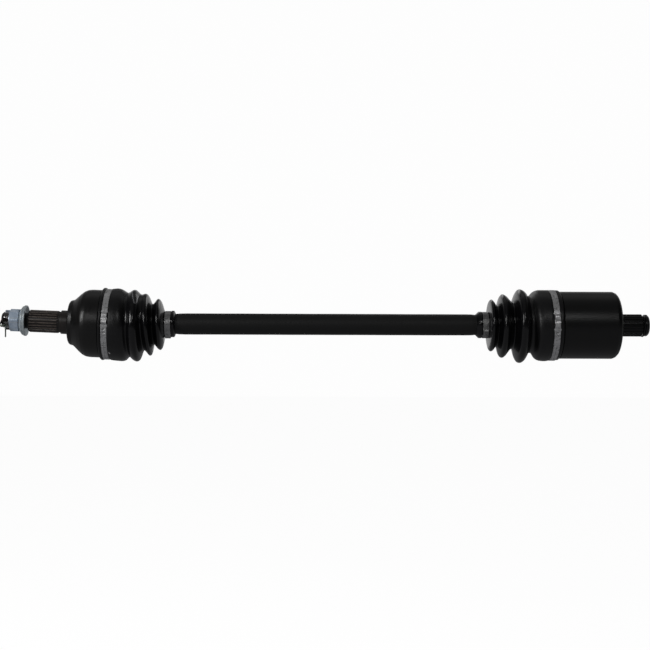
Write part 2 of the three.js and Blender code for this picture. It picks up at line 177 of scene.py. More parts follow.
def lathe(profile, n, closed=False, warp=None, pole_last=None):
    """Revolve a profile about X. Open profiles start and end on the axis."""
    P = np.asarray(profile, float)
    th = np.arange(n) * 2 * math.pi / n
    rows = P if closed else P[1:-1]
    X = np.repeat(rows[:, 0][:, None], n, 1)
    R = np.repeat(rows[:, 1][:, None], n, 1)
    T = np.repeat(th[None, :], len(rows), 0)
    if warp is not None:
        X, R, T = warp(X, R, T)
    V = place(X, R, T).reshape(-1, 3)
    F = grid_faces(len(rows), n, closed, True)
    if not closed:
        a, b = len(V), len(V) + 1
        last = P[-1] if pole_last is None else pole_last
        V = np.vstack([V, [[P[0, 0], 0, 0]], [[last[0], 0, 0]]])
        m = len(rows) - 1
        for j in range(n):
            j2 = (j + 1) % n
            F.append([a, j2, j])
            F.append([b, m * n + j, m * n + j2])
    return V, F


def build(name, V, F, material, body=None, replaces=(), sharp=32, wear_and_painted_light=None):
    """Mesh object in metres riding on a body."""
    V = np.asarray(V, float)
    if volume(V, F) < 0:
        F = [list(reversed(f)) for f in F]
    me = bpy.data.meshes.new(name)
    me.from_pydata((V * MM).tolist(), [], F)
    me.update()
    me.materials.append(material)
    me.polygons.foreach_set("use_smooth", [True] * len(me.polygons))
    me.set_sharp_from_angle(angle=math.radians(sharp))
    if wear_and_painted_light is not None:
        me.attributes.new("wear_and_painted_light", "FLOAT", "POINT").data.foreach_set("value", np.asarray(wear_and_painted_light, float))
    ob = bpy.data.objects.new(name, me)
    bpy.context.scene.collection.objects.link(ob)
    if body:
        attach(ob, body)
    if replaces:
        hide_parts(*replaces)
    return ob


# ------------------------------------------------------------------ materials
def node_material(name):
    m = bpy.data.materials.new(name)
    m.use_nodes = True
    nt = m.node_tree
    nt.nodes.clear()
    out = nt.nodes.new("ShaderNodeOutputMaterial")
    bsdf = nt.nodes.new("ShaderNodeBsdfPrincipled")
    nt.links.new(bsdf.outputs[0], out.inputs[0])
    return m, nt, bsdf


def N(nt, kind, **props):
    n = nt.nodes.new(kind)
    for k, v in props.items():
        if k == "inputs":
            for a, b in v.items():
                n.inputs[a].default_value = b
        else:
            setattr(n, k, v)
    return n


def coords(nt, scale=(1, 1, 1)):
    """Metres of the row frame (objects sit at the origin), scaled."""
    tc = N(nt, "ShaderNodeTexCoord")
    mp = N(nt, "ShaderNodeMapping")
    mp.inputs["Scale"].default_value = scale
    nt.links.new(tc.outputs["Object"], mp.inputs["Vector"])
    return mp.outputs["Vector"]


def noise(nt, vec, scale, detail=4, rough=0.55, dist=0.0):
    n = N(nt, "ShaderNodeTexNoise")
    n.inputs["Scale"].default_value = scale
    n.inputs["Detail"].default_value = detail
    n.inputs["Roughness"].default_value = rough
    n.inputs["Distortion"].default_value = dist
    nt.links.new(vec, n.inputs["Vector"])
    return n.outputs["Fac"]


def ramp(nt, fac, stops):
    r = N(nt, "ShaderNodeValToRGB")
    els = r.color_ramp.elements
    while len(els) > 1:
        els.remove(els[-1])
    els[0].position, els[0].color = stops[0][0], tuple(stops[0][1]) + (1,)
    for pos, col in stops[1:]:
        e = els.new(pos)
        e.color = tuple(col) + (1,)
    nt.links.new(fac, r.inputs["Fac"])
    return r.outputs["Color"]


def maprange(nt, fac, lo, hi, a=0.0, b=1.0):
    m = N(nt, "ShaderNodeMapRange")
    m.inputs["From Min"].default_value = a
    m.inputs["From Max"].default_value = b
    m.inputs["To Min"].default_value = lo
    m.inputs["To Max"].default_value = hi
    nt.links.new(fac, m.inputs["Value"])
    return m.outputs["Result"]


def mixcol(nt, fac, a, b, blend="MIX"):
    m = N(nt, "ShaderNodeMix", data_type="RGBA", blend_type=blend)
    for sock, val in ((m.inputs[0], fac), (m.inputs[6], a), (m.inputs[7], b)):
        if hasattr(val, "links") or isinstance(val, bpy.types.NodeSocket):
            nt.links.new(val, sock)
        elif isinstance(val, (int, float)):
            sock.default_value = val
        else:
            sock.default_value = tuple(val) + (1,)
    return m.outputs[2]


def mathn(nt, op, a, b=0.0, clamp=False):
    m = N(nt, "ShaderNodeMath", operation=op, use_clamp=clamp)
    for sock, val in ((m.inputs[0], a), (m.inputs[1], b)):
        if isinstance(val, bpy.types.NodeSocket):
            nt.links.new(val, sock)
        else:
            sock.default_value = val
    return m.outputs[0]


def bump(nt, bsdf, heights):
    """heights: [(socket, distance in metres, strength)] stacked."""
    prev = None
    for h, dist, strength in heights:
        b = N(nt, "ShaderNodeBump")
        b.inputs["Strength"].default_value = strength
        b.inputs["Distance"].default_value = dist
        nt.links.new(h, b.inputs["Height"])
        if prev is not None:
            nt.links.new(prev, b.inputs["Normal"])
        prev = b.outputs["Normal"]
    nt.links.new(prev, bsdf.inputs["Normal"])


def edge_wear(nt, lo=0.53, hi=0.60):
    g = N(nt, "ShaderNodeNewGeometry")
    return maprange(nt, g.outputs["Pointiness"], 0.0, 1.0, lo, hi)


def polar(nt, along, around):
    """Vector (x*along, angle about X*around, radius) for rings turned about the X axis."""
    tc = N(nt, "ShaderNodeTexCoord")
    sp = N(nt, "ShaderNodeSeparateXYZ")
    nt.links.new(tc.outputs["Object"], sp.inputs[0])
    ang = N(nt, "ShaderNodeMath", operation="ARCTAN2")
    nt.links.new(sp.outputs["Y"], ang.inputs[0])
    nt.links.new(sp.outputs["Z"], ang.inputs[1])
    # the angle wraps at the bottom, so its sine and cosine are used
    s = mathn(nt, "MULTIPLY", mathn(nt, "SINE", ang.outputs[0]), around)
    c = mathn(nt, "MULTIPLY", mathn(nt, "COSINE", ang.outputs[0]), around)
    x = mathn(nt, "MULTIPLY", sp.outputs["X"], along)
    cb = N(nt, "ShaderNodeCombineXYZ")
    for i, v in enumerate((x, s, c)):
        nt.links.new(v, cb.inputs[i])
    return cb.outputs[0]


def black_paint(name, base=(0.0085, 0.0088, 0.0092), rough=(0.36, 0.52), turned=0.0, spec=0.42, rubbed_and_highlight=None, dusty=0.35):
    """Satin black on machined or forged steel: orange peel, faint turning lines, dust, rubbed edges, and lightened
    spline tips and journal that are partly rubbed wear, partly painted highlight.
    """
    m, nt, b = node_material(name)
    v = coords(nt)
    big = noise(nt, v, 38, 4, 0.6)
    fine = noise(nt, v, 900, 5, 0.62)
    speck = noise(nt, v, 2600, 2, 0.5)
    col = ramp(nt, big, [(0.30, [c * 0.82 for c in base]), (0.70, [c * 1.25 for c in base])])
    dust = maprange(nt, speck, 0, 1, 0.66, 0.78)
    col = mixcol(nt, mathn(nt, "MULTIPLY", dust, dusty, True), col, (0.05, 0.05, 0.048))
    wear_and_painted_light = edge_wear(nt)
    wear_and_painted_light = mathn(nt, "MULTIPLY", wear_and_painted_light, maprange(nt, fine, 0, 1, 0.35, 0.65), True)
    col = mixcol(nt, mathn(nt, "MULTIPLY", wear_and_painted_light, 0.30, True), col, (0.07, 0.07, 0.068))
    # spline tips, thread crests and the journal band (vertex attribute) are lightened towards this colour: partly
    # rubbed wear, partly painted highlight
    if rubbed_and_highlight:
        at = N(nt, "ShaderNodeAttribute", attribute_name="wear_and_painted_light")
        tips = mathn(nt, "MULTIPLY", at.outputs["Fac"], maprange(nt, noise(nt, v, 420, 3, 0.6), 0.35, 1.0, 0.3, 0.6), True)
        col = mixcol(nt, tips, col, rubbed_and_highlight)
    nt.links.new(col, b.inputs["Base Color"])
    rr = maprange(nt, mathn(nt, "ADD", mathn(nt, "MULTIPLY", big, 0.6), mathn(nt, "MULTIPLY", fine, 0.4)), rough[0], rough[1], 0.3, 0.7)
    nt.links.new(rr, b.inputs["Roughness"])
    b.inputs["Specular IOR Level"].default_value = spec
    hs = [(fine, 0.00004, 0.55), (noise(nt, v, 260, 3, 0.5), 0.00006, 0.35)]
    if turned:
        lines = noise(nt, polar(nt, 5200, 0.35), 1.0, 2, 0.6)
        hs.append((lines, 0.00002, turned))
    bump(nt, b, hs)
    return m


def near_line(nt, pos, A, B, w):
    """1 on the straight line A-B in side view (x, z in mm), fading to 0 over w mm."""
    A, B = Vector((A[0] * MM, 0, A[1] * MM)), Vector((B[0] * MM, 0, B[1] * MM))
    d = B - A
    sub = N(nt, "ShaderNodeVectorMath", operation="SUBTRACT")
    nt.links.new(pos, sub.inputs[0])
    sub.inputs[1].default_value = A
    dot = N(nt, "ShaderNodeVectorMath", operation="DOT_PRODUCT")
    nt.links.new(sub.outputs[0], dot.inputs[0])
    dot.inputs[1].default_value = d / d.length_squared
    t = mathn(nt, "MULTIPLY", dot.outputs["Value"], 1.0, True)
    sc = N(nt, "ShaderNodeVectorMath", operation="SCALE")
    sc.inputs[0].default_value = d
    nt.links.new(t, sc.inputs["Scale"])
    off = N(nt, "ShaderNodeVectorMath", operation="SUBTRACT")
    nt.links.new(sub.outputs[0], off.inputs[0])
    nt.links.new(sc.outputs[0], off.inputs[1])
    ln = N(nt, "ShaderNodeVectorMath", operation="LENGTH")
    nt.links.new(off.outputs[0], ln.inputs[0])
    return maprange(nt, ln.outputs["Value"], 1.0, 0.0, w * MM * 0.35, w * MM)


def rubber(name):
    """Moulded rubber boot: glossy skin with a dusty bloom, fine flow marks, two pale V-shaped painted reflection lines
    on the first fold, camera side only.
    """
    m, nt, b = node_material(name)
    v = coords(nt)
    big = noise(nt, v, 45, 4, 0.6, 0.4)
    mid = noise(nt, v, 240, 4, 0.6)
    fine = noise(nt, v, 1800, 3, 0.6)
    base = ramp(nt, big, [(0.3, (0.0030, 0.0030, 0.0037)), (0.7, (0.0052, 0.0050, 0.0062))])
    dust = mathn(nt, "MULTIPLY", maprange(nt, mid, 0, 1, 0.54, 0.74), 0.07, True)
    base = mixcol(nt, dust, base, (0.05, 0.05, 0.055))
    # side view of the camera half only
    sp = N(nt, "ShaderNodeSeparateXYZ")
    nt.links.new(v, sp.inputs[0])
    flat = N(nt, "ShaderNodeCombineXYZ")
    nt.links.new(sp.outputs["X"], flat.inputs[0])
    nt.links.new(sp.outputs["Z"], flat.inputs[2])
    front = mathn(nt, "LESS_THAN", sp.outputs["Y"], -0.004)
    # painted reflection: two pale lines on the first fold, camera side only, standing in for light reflected in a dent
    painted_reflection_lines = mathn(nt, "MAXIMUM", near_line(nt, flat.outputs[0], (-230.4, 38.6), (-225.2, 24.2), 0.75), near_line(nt, flat.outputs[0], (-221.6, 36.6), (-223.6, 24.2), 0.7))
    painted_reflection_lines = mathn(nt, "MULTIPLY", mathn(nt, "MULTIPLY", painted_reflection_lines, front), maprange(nt, mid, 0.35, 0.8, 0.35, 0.65), True)
    base = mixcol(nt, painted_reflection_lines, base, (0.42, 0.42, 0.44))
    chip = mathn(nt, "MULTIPLY", near_line(nt, flat.outputs[0], (-255.9, -34.4), (-254.9, -35.3), 0.85), front)
    base = mixcol(nt, chip, base, (0.60, 0.59, 0.60))
    nt.links.new(base, b.inputs["Base Color"])
    rr = maprange(nt, mathn(nt, "ADD", mathn(nt, "MULTIPLY", big, 0.5), mathn(nt, "MULTIPLY", mid, 0.5)), 0.15, 0.23, 0.35, 0.65)
    cuff = maprange(nt, mathn(nt, "ABSOLUTE", sp.outputs["X"]), 0.0, 0.20, 0.236, 0.244)
    rr = mathn(nt, "ADD", rr, cuff)
    nt.links.new(rr, b.inputs["Roughness"])
    b.inputs["Specular IOR Level"].default_value = 0.5
    flow = noise(nt, polar(nt, 700, 6.0), 1.0, 3, 0.5)
    bump(nt, b, [(fine, 0.00002, 0.10), (mid, 0.00003, 0.02), (flow, 0.00003, 0.02)])
    return m


def zinc(name, crown=False, tint=(1.0, 1.0, 1.0)):
    """Bluish zinc plate: slightly blotchy, soft grain, duller in patches."""
    m, nt, b = node_material(name)
    v = coords(nt)
    blotch = noise(nt, v, 210, 5, 0.62, 0.6)
    fine = noise(nt, v, 1500, 4, 0.6)
    col = ramp(nt, blotch, [(0.28, (0.50, 0.58, 0.69)), (0.50, (0.64, 0.72, 0.82)), (0.66, (0.76, 0.82, 0.90)), (0.8, (0.70, 0.74, 0.74))])
    wear_and_painted_light = mathn(nt, "MULTIPLY", edge_wear(nt), 0.5, True)
    col = mixcol(nt, wear_and_painted_light, col, (0.74, 0.76, 0.78))
    col = mixcol(nt, 1.0, col, tint, "MULTIPLY")
    rgh = maprange(nt, mathn(nt, "ADD", mathn(nt, "MULTIPLY", blotch, 0.5), mathn(nt, "MULTIPLY", fine, 0.5)), 0.40, 0.58, 0.3, 0.7)
    b.inputs["Metallic"].default_value = 0.50
    if crown:
        # painted shade: the castellated crown's colour is darkened below its upper rim, standing in for the dark room
        # reflected in its curved sides; the upper rim is left bright
        sp = N(nt, "ShaderNodeSeparateXYZ")
        nt.links.new(v, sp.inputs[0])
        wav = mathn(nt, "MULTIPLY", mathn(nt, "SUBTRACT", blotch, 0.5), 0.0022)
        xm = maprange(nt, mathn(nt, "ADD", sp.outputs["X"], wav), 1.0, 0.0, -0.3783, -0.3772)
        zm = maprange(nt, mathn(nt, "ADD", sp.outputs["Z"], wav), 1.0, 0.0, 0.0118, 0.0138)
        crown_shade_mask = mathn(nt, "MULTIPLY", xm, zm, True)
        col = mixcol(nt, crown_shade_mask, col, (0.26, 0.26, 0.265))
        met = N(nt, "ShaderNodeMix", data_type="FLOAT")
        nt.links.new(crown_shade_mask, met.inputs[0])
        met.inputs[2].default_value = 0.5
        met.inputs[3].default_value = 1.0
        nt.links.new(met.outputs[0], b.inputs["Metallic"])
        lo = N(nt, "ShaderNodeMix", data_type="FLOAT")
        nt.links.new(crown_shade_mask, lo.inputs[0])
        nt.links.new(rgh, lo.inputs[2])
        lo.inputs[3].default_value = 0.24
        rgh = lo.outputs[0]
    nt.links.new(col, b.inputs["Base Color"])
    nt.links.new(rgh, b.inputs["Roughness"])
    bump(nt, b, [(fine, 0.00004, 0.5), (blotch, 0.0001, 0.25)])
    return m


def band_steel(name, tint=(0.74, 0.74, 0.75), streak=0.3):
    """Rolled strip for the clamps: streaks along the strip, scuffs, painted highlights on the grip dash tops, painted
    shade in the hook windows and between the dashes, darker in the concave spots.
    """
    m, nt, b = node_material(name)
    pv = polar(nt, 2600, 2.2)
    streaks = noise(nt, pv, 1.0, 4, 0.65)
    v = coords(nt)
    scuff = noise(nt, v, 330, 5, 0.65, 0.5)
    fine = noise(nt, v, 2100, 3, 0.6)
    col = ramp(nt, streaks, [(0.3, [c * 0.72 for c in tint]), (0.7, [min(1, c * 1.15) for c in tint])])
    col = mixcol(nt, mathn(nt, "MULTIPLY", maprange(nt, scuff, 0, 1, 0.50, 0.68), 0.75, True), col, (0.13, 0.13, 0.128))
    pale = noise(nt, v, 620, 4, 0.7, 0.3)
    col = mixcol(nt, mathn(nt, "MULTIPLY", maprange(nt, pale, 0, 1, 0.58, 0.70), 0.7, True), col, (0.70, 0.70, 0.70))
    # the per-vertex attribute carries painted light on the clamps: positive values lighten the dash tops (painted
    # highlight), negative values darken the hook windows and the gaps between dashes (painted shade)
    at = N(nt, "ShaderNodeAttribute", attribute_name="wear_and_painted_light")
    hi = mathn(nt, "MULTIPLY", mathn(nt, "MAXIMUM", at.outputs["Fac"], 0.0), maprange(nt, pale, 0.35, 1.0, 0.35, 0.6), True)
    col = mixcol(nt, hi, col, (0.92, 0.92, 0.92))
    painted_shade = mathn(nt, "MULTIPLY", mathn(nt, "MAXIMUM", mathn(nt, "MULTIPLY", at.outputs["Fac"], -1.0), 0.0), 0.75, True)
    col = mixcol(nt, painted_shade, col, (0.07, 0.07, 0.07))
    # darker in the concave spots
    g = N(nt, "ShaderNodeNewGeometry")
    low = maprange(nt, g.outputs["Pointiness"], 1.0, 0.0, 0.40, 0.50)
    col = mixcol(nt, mathn(nt, "MULTIPLY", low, 0.6, True), col, (0.05, 0.05, 0.05))
    nt.links.new(col, b.inputs["Base Color"])
    b.inputs["Metallic"].default_value = 0.80
    nt.links.new(maprange(nt, mathn(nt, "ADD", mathn(nt, "MULTIPLY", streaks, 0.5), mathn(nt, "MULTIPLY", scuff, 0.5)), 0.30, 0.52, 0.3, 0.7), b.inputs["Roughness"])
    bump(nt, b, [(streaks, 0.00003, streak), (scuff, 0.00010, 0.45), (fine, 0.00002, 0.3)])
    return m


def bare_steel(name, tint, rough=(0.2, 0.4), metal=1.0, oil=0.0):
    """Ground or drawn steel with fine scratches and a film of old grease."""
    m, nt, b = node_material(name)
    v = coords(nt)
    big = noise(nt, v, 160, 4, 0.6)
    fine = noise(nt, v, 1900, 4, 0.62)
    col = ramp(nt, big, [(0.3, [c * 0.8 for c in tint]), (0.7, [min(1, c * 1.15) for c in tint])])
    if oil:
        col = mixcol(nt, mathn(nt, "MULTIPLY", maprange(nt, big, 0, 1, 0.45, 0.62), oil, True), col, (0.10, 0.075, 0.04))
    nt.links.new(col, b.inputs["Base Color"])
    b.inputs["Metallic"].default_value = metal
    nt.links.new(maprange(nt, fine, rough[0], rough[1], 0.3, 0.7), b.inputs["Roughness"])
    bump(nt, b, [(fine, 0.00003, 0.45), (big, 0.00006, 0.2)])
    return m


M_BELL = black_paint("paint_bell", base=(0.0054, 0.0051, 0.0052), rough=(0.28, 0.40), turned=0.2, spec=0.5, rubbed_and_highlight=(0.19, 0.155, 0.135), dusty=0.25)
M_BAR = black_paint("paint_bar", base=(0.0062, 0.0064, 0.0066), rough=(0.52, 0.66), turned=0.0, spec=0.45)
M_CUP = black_paint("paint_cup", base=(0.0022, 0.0023, 0.0026), rough=(0.30, 0.38), turned=0.2, spec=0.45, dusty=0.06)
M_RUBBER = rubber("boot_rubber")
M_ZINC = zinc("zinc_plate", tint=(1.0, 0.98, 0.90))
M_NUT = zinc("zinc_nut", crown=True, tint=(0.98, 1.04, 1.10))
M_BAND = band_steel("clamp_strip")
M_BAND_SMALL = band_steel("clamp_strip_small", tint=(0.46, 0.46, 0.46))
# painted shade: a darker copy of the small clamps' strip for the inboard small clamp, which sits more in shade
M_BAND_SMALL_SHADED = band_steel("clamp_strip_small_shaded", tint=(0.30, 0.30, 0.30))
M_WIRE = bare_steel("drawn_wire", (0.30, 0.33, 0.29), (0.34, 0.5))
M_DARKWIRE = bare_steel("oiled_wire", (0.045, 0.045, 0.047), (0.35, 0.5), metal=0.8)
M_CAGE = bare_steel("cage_steel", (0.22, 0.21, 0.20), (0.35, 0.5), oil=0.5)
M_RACE = bare_steel("race_steel", (0.52, 0.52, 0.50), (0.16, 0.3), oil=0.35)
M_BALL = bare_steel("ball_steel", (0.68, 0.68, 0.68), (0.06, 0.12), oil=0.2)

# ------------------------------------------------------------------ shared shape rules
BALL_R = 7.94
N_SPLINE = 24


def tooth(T, n, phase=0.0, flat=0.30, root=0.30):
    """0 in the roots, 1 on the tooth tips, with sloped flanks."""
    u = np.abs(((T - phase) * n / (2 * math.pi) + 0.5) % 1.0 - 0.5) * 2        # 0 at tip centre, 1 at root centre
    return 1 - sstep(flat, 1 - root, u)


def thread(X, T, pitch):
    u = ((X / pitch) - T / (2 * math.pi)) % 1.0
    return 1 - np.abs(u - 0.5) * 2


def solve_track(dx, D, pitch, a, c):
    """Largest radius r at axial distance dx and angle D from the track's plane that lies inside the ring-shaped track."""
    r = np.full(np.broadcast(dx, D).shape, 0.0)
    for cand in np.linspace(20, 40, 161):
        q = ((np.hypot(dx, cand * np.cos(D)) - pitch) / a) ** 2 + (cand * np.sin(D) / c) ** 2
        r = np.where(q <= 1, cand, r)
    return r


def nearest_track(T, offset=0.0):
    """Angle from the nearest of six equally spaced directions."""
    p = math.pi / 3
    return (T - offset + p / 2) % p - p / 2


# ------------------------------------------------------------------ wheel-end housing
L = OUT_C
stub = [(-387.5, 0), (-387.5, 6.2), (-387.5, 7.6, 0.5), (-385.7, 9.35, 0.3)]
thread_x = np.arange(-385.55, -376.6, 0.19)
housing_outer = list(rounded(stub + [(-385.5, 9.4)], 4))
housing_outer = housing_outer[:-1] + [np.array([x, 9.4]) for x in thread_x]
after = [(-376.4, 9.4), (-356.2, 9.4, 0.3), (-355.5, 12.3, 0.2)]
splx = np.concatenate([[-355.3], np.linspace(-355.0, -353.2, 6), np.linspace(-352, -321.5, 12), np.linspace(-321.0, -317.9, 8)])
tail = [(-317.5, 12.3, 0.5), (-316.7, 14.15, 0.5), (-308.2, 14.15, 0.7), (-306.6, 15.6, 0.5), (-306.6, 25.0, 1.5), (-305.0, 26.5, 1.3), (-301.2, 27.5, 1.6),
        (-298.6, 29.7, 2.2), (-293.6, 34.5, 7), (-289.0, 38.2, 9), (-284.6, 40.05, 12), (-279.5, 40.5, 8), (-272, 40.5), (-268.15, 40.5, 0.45), (-267.7, 39.3, 0.3),
        (-257.2, 39.3, 0.4), (-256, 38.2, 0.5), (-256, 34.3, 0.5), (-261.5, 31.2, 0.4)]
P_out = np.vstack([np.array(housing_outer), rounded(after + [(-355.3, 12.3)], 3)[:-1], np.stack([splx, np.full(len(splx), 12.3)], 1),
                   dense(rounded([(-317.8, 12.3)] + tail + [(-261.9, 30.95)], 6, 0.4)[1:], 3.2)])
n_cav = 34
phi0 = math.atan2(math.sqrt(30.9 ** 2 - 10.2 ** 2), 10.2)
cav = [(L + 30.9 * math.cos(p), 30.9 * math.sin(p)) for p in np.linspace(phi0, math.pi, n_cav)]
cav[-1] = (cav[-1][0], 0.0)
P_house = np.vstack([P_out, cav])
first_cav = len(P_out) - 1 - 1        # rows index (without the first pole), lip included


def warp_housing(X, R, T):
    X, R = X.copy(), R.copy()
    on = (X > -385.6) & (X < -376.5) & (R > 9.3) & (R < 9.5)
    env = sstep(-385.6, -384.9, X) * (1 - sstep(-377.2, -376.5, X))
    R = np.where(on, 9.4 - 0.62 * env * (1 - thread(X, T, 1.5)), R)
    on = (X > -355.4) & (X < -317.7) & (R > 12.2) & (R < 12.4)
    env = sstep(-355.3, -353.6, X) * (1 - sstep(-321.2, -317.9, X))
    R = np.where(on, 12.3 + 1.1 * env * tooth(T, N_SPLINE, math.pi / 24), R)
    # ball tracks widen the spherical bore
    inner = np.zeros(X.shape, bool)
    inner[first_cav - 16:, :] = True
    inner &= (R < 34.0)
    rho, phi = np.hypot(X - L, R), np.arctan2(R, X - L)
    D = nearest_track(T)
    s = np.sin(phi) * np.sin(D)
    A = (1 - s ** 2) / 8.9 ** 2 + s ** 2 / 11.0 ** 2
    B = -2 * 27.5 * np.sqrt(1 - s ** 2) / 8.9 ** 2
    C = 27.5 ** 2 / 8.9 ** 2 - 1
    disc = B * B - 4 * A * C
    rt = np.where(disc > 0, (-B + np.sqrt(np.maximum(disc, 0))) / (2 * A), 0)
    new = np.where(inner, np.maximum(rho, rt), rho)
    X = np.where(inner, L + new * np.cos(phi), X)
    R = np.where(inner, new * np.sin(phi), R)
    return X, R, T


V, F = lathe(P_house, 288, warp=warp_housing, pole_last=(L - 36.4, 0))
rr_ = np.hypot(V[:, 1], V[:, 2])
# lighter spline tips, thread crests and journal band: partly rubbed wear, partly painted highlight
worn_and_highlight = (0.10 + 0.72 * sstep(13.2, 13.39, rr_)) * ((V[:, 0] > -355.2) & (V[:, 0] < -318.2)) + 0.35 * sstep(9.2, 9.4, rr_) * (V[:, 0] < -377)
worn_and_highlight += 0.13 * ((V[:, 0] > -318.2) & (V[:, 0] < -306.7) & (rr_ < 15.5))
build("outboard_housing_fine", tilt(V), F, M_BELL, "wheel_end", ["outboard_housing"], sharp=38, wear_and_painted_light=worn_and_highlight)

# ------------------------------------------------------------------ castle nut
AF = 26.6


def nut_mesh():
    rx = AF / 2 / math.cos(math.pi / 6)
    slot_c = [math.radians(30 + 60 * i) for i in range(6)]           # slots over the flats, corner towards -Y
    cols = []                                                        # (angle, slot centre or None, inside slot)
    per = 60
    for i in range(6):
        c = slot_c[i]
        w = math.radians(11.3)
        left = np.linspace(c - math.radians(30), c - w, 12)[:-1]
        cols += [(a, None, 0) for a in left]
        cols += [(c - w, c, -1), (c - w, c, -2)]
        mid = np.linspace(c - w, c + w, 9)[1:-1]
        cols += [(a, c, 3) for a in mid]
        cols += [(c + w, c, 2), (c + w, c, 1)]
        right = np.linspace(c + w, c + math.radians(30), 12)[1:-1]
        cols += [(a, None, 0) for a in right]
    # loop in (x, r): bore, crown end, crown side, hex flank, back face
    loop = [(-366.6, 9.9), (-367.0, 9.72), (-383.4, 9.72), (-384.0, 10.3), (-384.0, 11.1), (-383.75, 11.6), (-383.2, 11.85),
            (-380.5, 11.85), (-378.3, 11.9), (-377.55, 12.05), (-377.25, 12.5)]
    hexx = [(-377.15, 12.9), (-376.9, 13.6), (-376.4, 14.4), (-375.75, 15.1), (-375.2, 15.36), (-374.5, 15.6), (-372, 15.6), (-369.2, 15.6), (-368.3, 15.6),
            (-367.5, 15.4), (-366.95, 15.0), (-366.65, 14.5), (-366.6, 14.2)]
    V = []
    floor = -378.4
    for a, c, kind in cols:
        for (x, r) in loop:
            ang, xx = a, x
            if r <= 12.6 and x < floor and c is not None:
                half = math.asin(2.3 / max(r, 9.7))
                if kind in (-1, -2):
                    ang = c - half
                if kind in (1, 2):
                    ang = c + half
            if kind in (-2, 3, 2) and x < floor:
                xx = floor + 0.02 * (x - floor)
                if kind == 3:
                    ang = c + (a - c) * math.asin(2.3 / max(r, 9.7)) / math.radians(11.3)
            V.append((xx, -r * math.sin(ang), r * math.cos(ang)))
        d = (a + math.pi / 6 + math.pi) % (math.pi / 3) - math.pi / 6
        # hex with its corners at 90 degrees (towards -Y) and every 60 from it
        h = ((a - math.pi / 2) % (math.pi / 3)) - math.pi / 6
        rh = AF / 2 / math.cos(h)
        rh = AF / 2 / math.cos(math.pi / 6) - 0.35 if rh > AF / 2 / math.cos(math.pi / 6) - 0.35 else rh
        for (x, r) in hexx:
            rr = min(r, rh)
            V.append((x, -rr * math.sin(a), rr * math.cos(a)))
    k = len(loop) + len(hexx)
    F = grid_faces(len(cols), k, True, True)
    return np.array(V), F


V, F = nut_mesh()
build("castle_nut_fine", tilt(V), F, M_NUT, "wheel_end", ["castle_nut"], sharp=28)

# ------------------------------------------------------------------ washers
w1 = rounded([(-365.0, 9.9), (-365.8, 9.9, 0.15), (-365.8, 13.2, 0.8), (-363.2, 16.9, 0.9), (-362.6, 17.3, 0.35), (-361.5, 17.3, 0.35), (-361.4, 16.4, 0.4), (-363.9, 13.0, 0.8), (-364.0, 9.9, 0.15), (-364.4, 9.9)], 4)
V, F = lathe(w1, 96, closed=True)
build("hub_washer_outer_fine", tilt(V), F, M_ZINC, "wheel_end", ["hub_washer_outer"])
w2 = rounded([(-363.0, 9.9), (-363.6, 9.9, 0.15), (-363.5, 12.6, 0.8), (-361.1, 16.0, 0.8), (-361.0, 18.3, 0.5), (-358.3, 18.3, 0.5), (-358.2, 16.9, 0.5), (-361.1, 12.5, 0.9), (-361.2, 9.9, 0.15), (-362, 9.9)], 4)
V, F = lathe(w2, 96, closed=True)
build("hub_washer_inner_fine", tilt(V), F, M_ZINC, "wheel_end", ["hub_washer_inner"])


# ------------------------------------------------------------------ split pin
def sweep(path, frames, a, b, n=14, taper=None):
    """Elliptical section (a along frames, b across) swept along path, closed with round ends."""
    path = np.asarray(path, float)
    k = len(path)
    T = np.gradient(path, axis=0)
    T /= np.linalg.norm(T, axis=1)[:, None]
    rings = []
    for i in range(k):
        nrm = frames[i] - T[i] * (frames[i] @ T[i])
        nrm /= np.linalg.norm(nrm)
        bi = np.cross(T[i], nrm)
        t = np.arange(n) * 2 * math.pi / n
        ring = path[i] + np.outer(np.cos(t) * a, nrm) + np.outer(np.sin(t) * b, bi)
        rings.append(ring)
    first = [path[0] - T[0] * a * q + (rings[0] - path[0]) * s for q, s in ((0.95, 0.35), (0.7, 0.72), (0.35, 0.93))]
    last = [path[-1] + T[-1] * a * q + (rings[-1] - path[-1]) * s for q, s in ((0.35, 0.93), (0.7, 0.72), (0.95, 0.35))]
    rings = first + rings + last
    V = np.vstack(rings)
    F = grid_faces(len(rings), n, False, True)
    c0, c1 = len(V), len(V) + 1
    V = np.vstack([V, [path[0] - T[0] * a], [path[-1] + T[-1] * a]])
    m = len(rings) - 1
    for j in range(n):
        j2 = (j + 1) % n
        F.append([c0, j2, j])
        F.append([c1, m * n + j, m * n + j2])
    return V, F


PIN_D = np.array([0, -math.cos(math.radians(30)), -math.sin(math.radians(30))])
PIN_C = np.array([-381.2, 0, 0])


def pin_at(t, dx=0.0, dz=0.0):
    return PIN_C + PIN_D * t + np.array([dx, 0, dz])


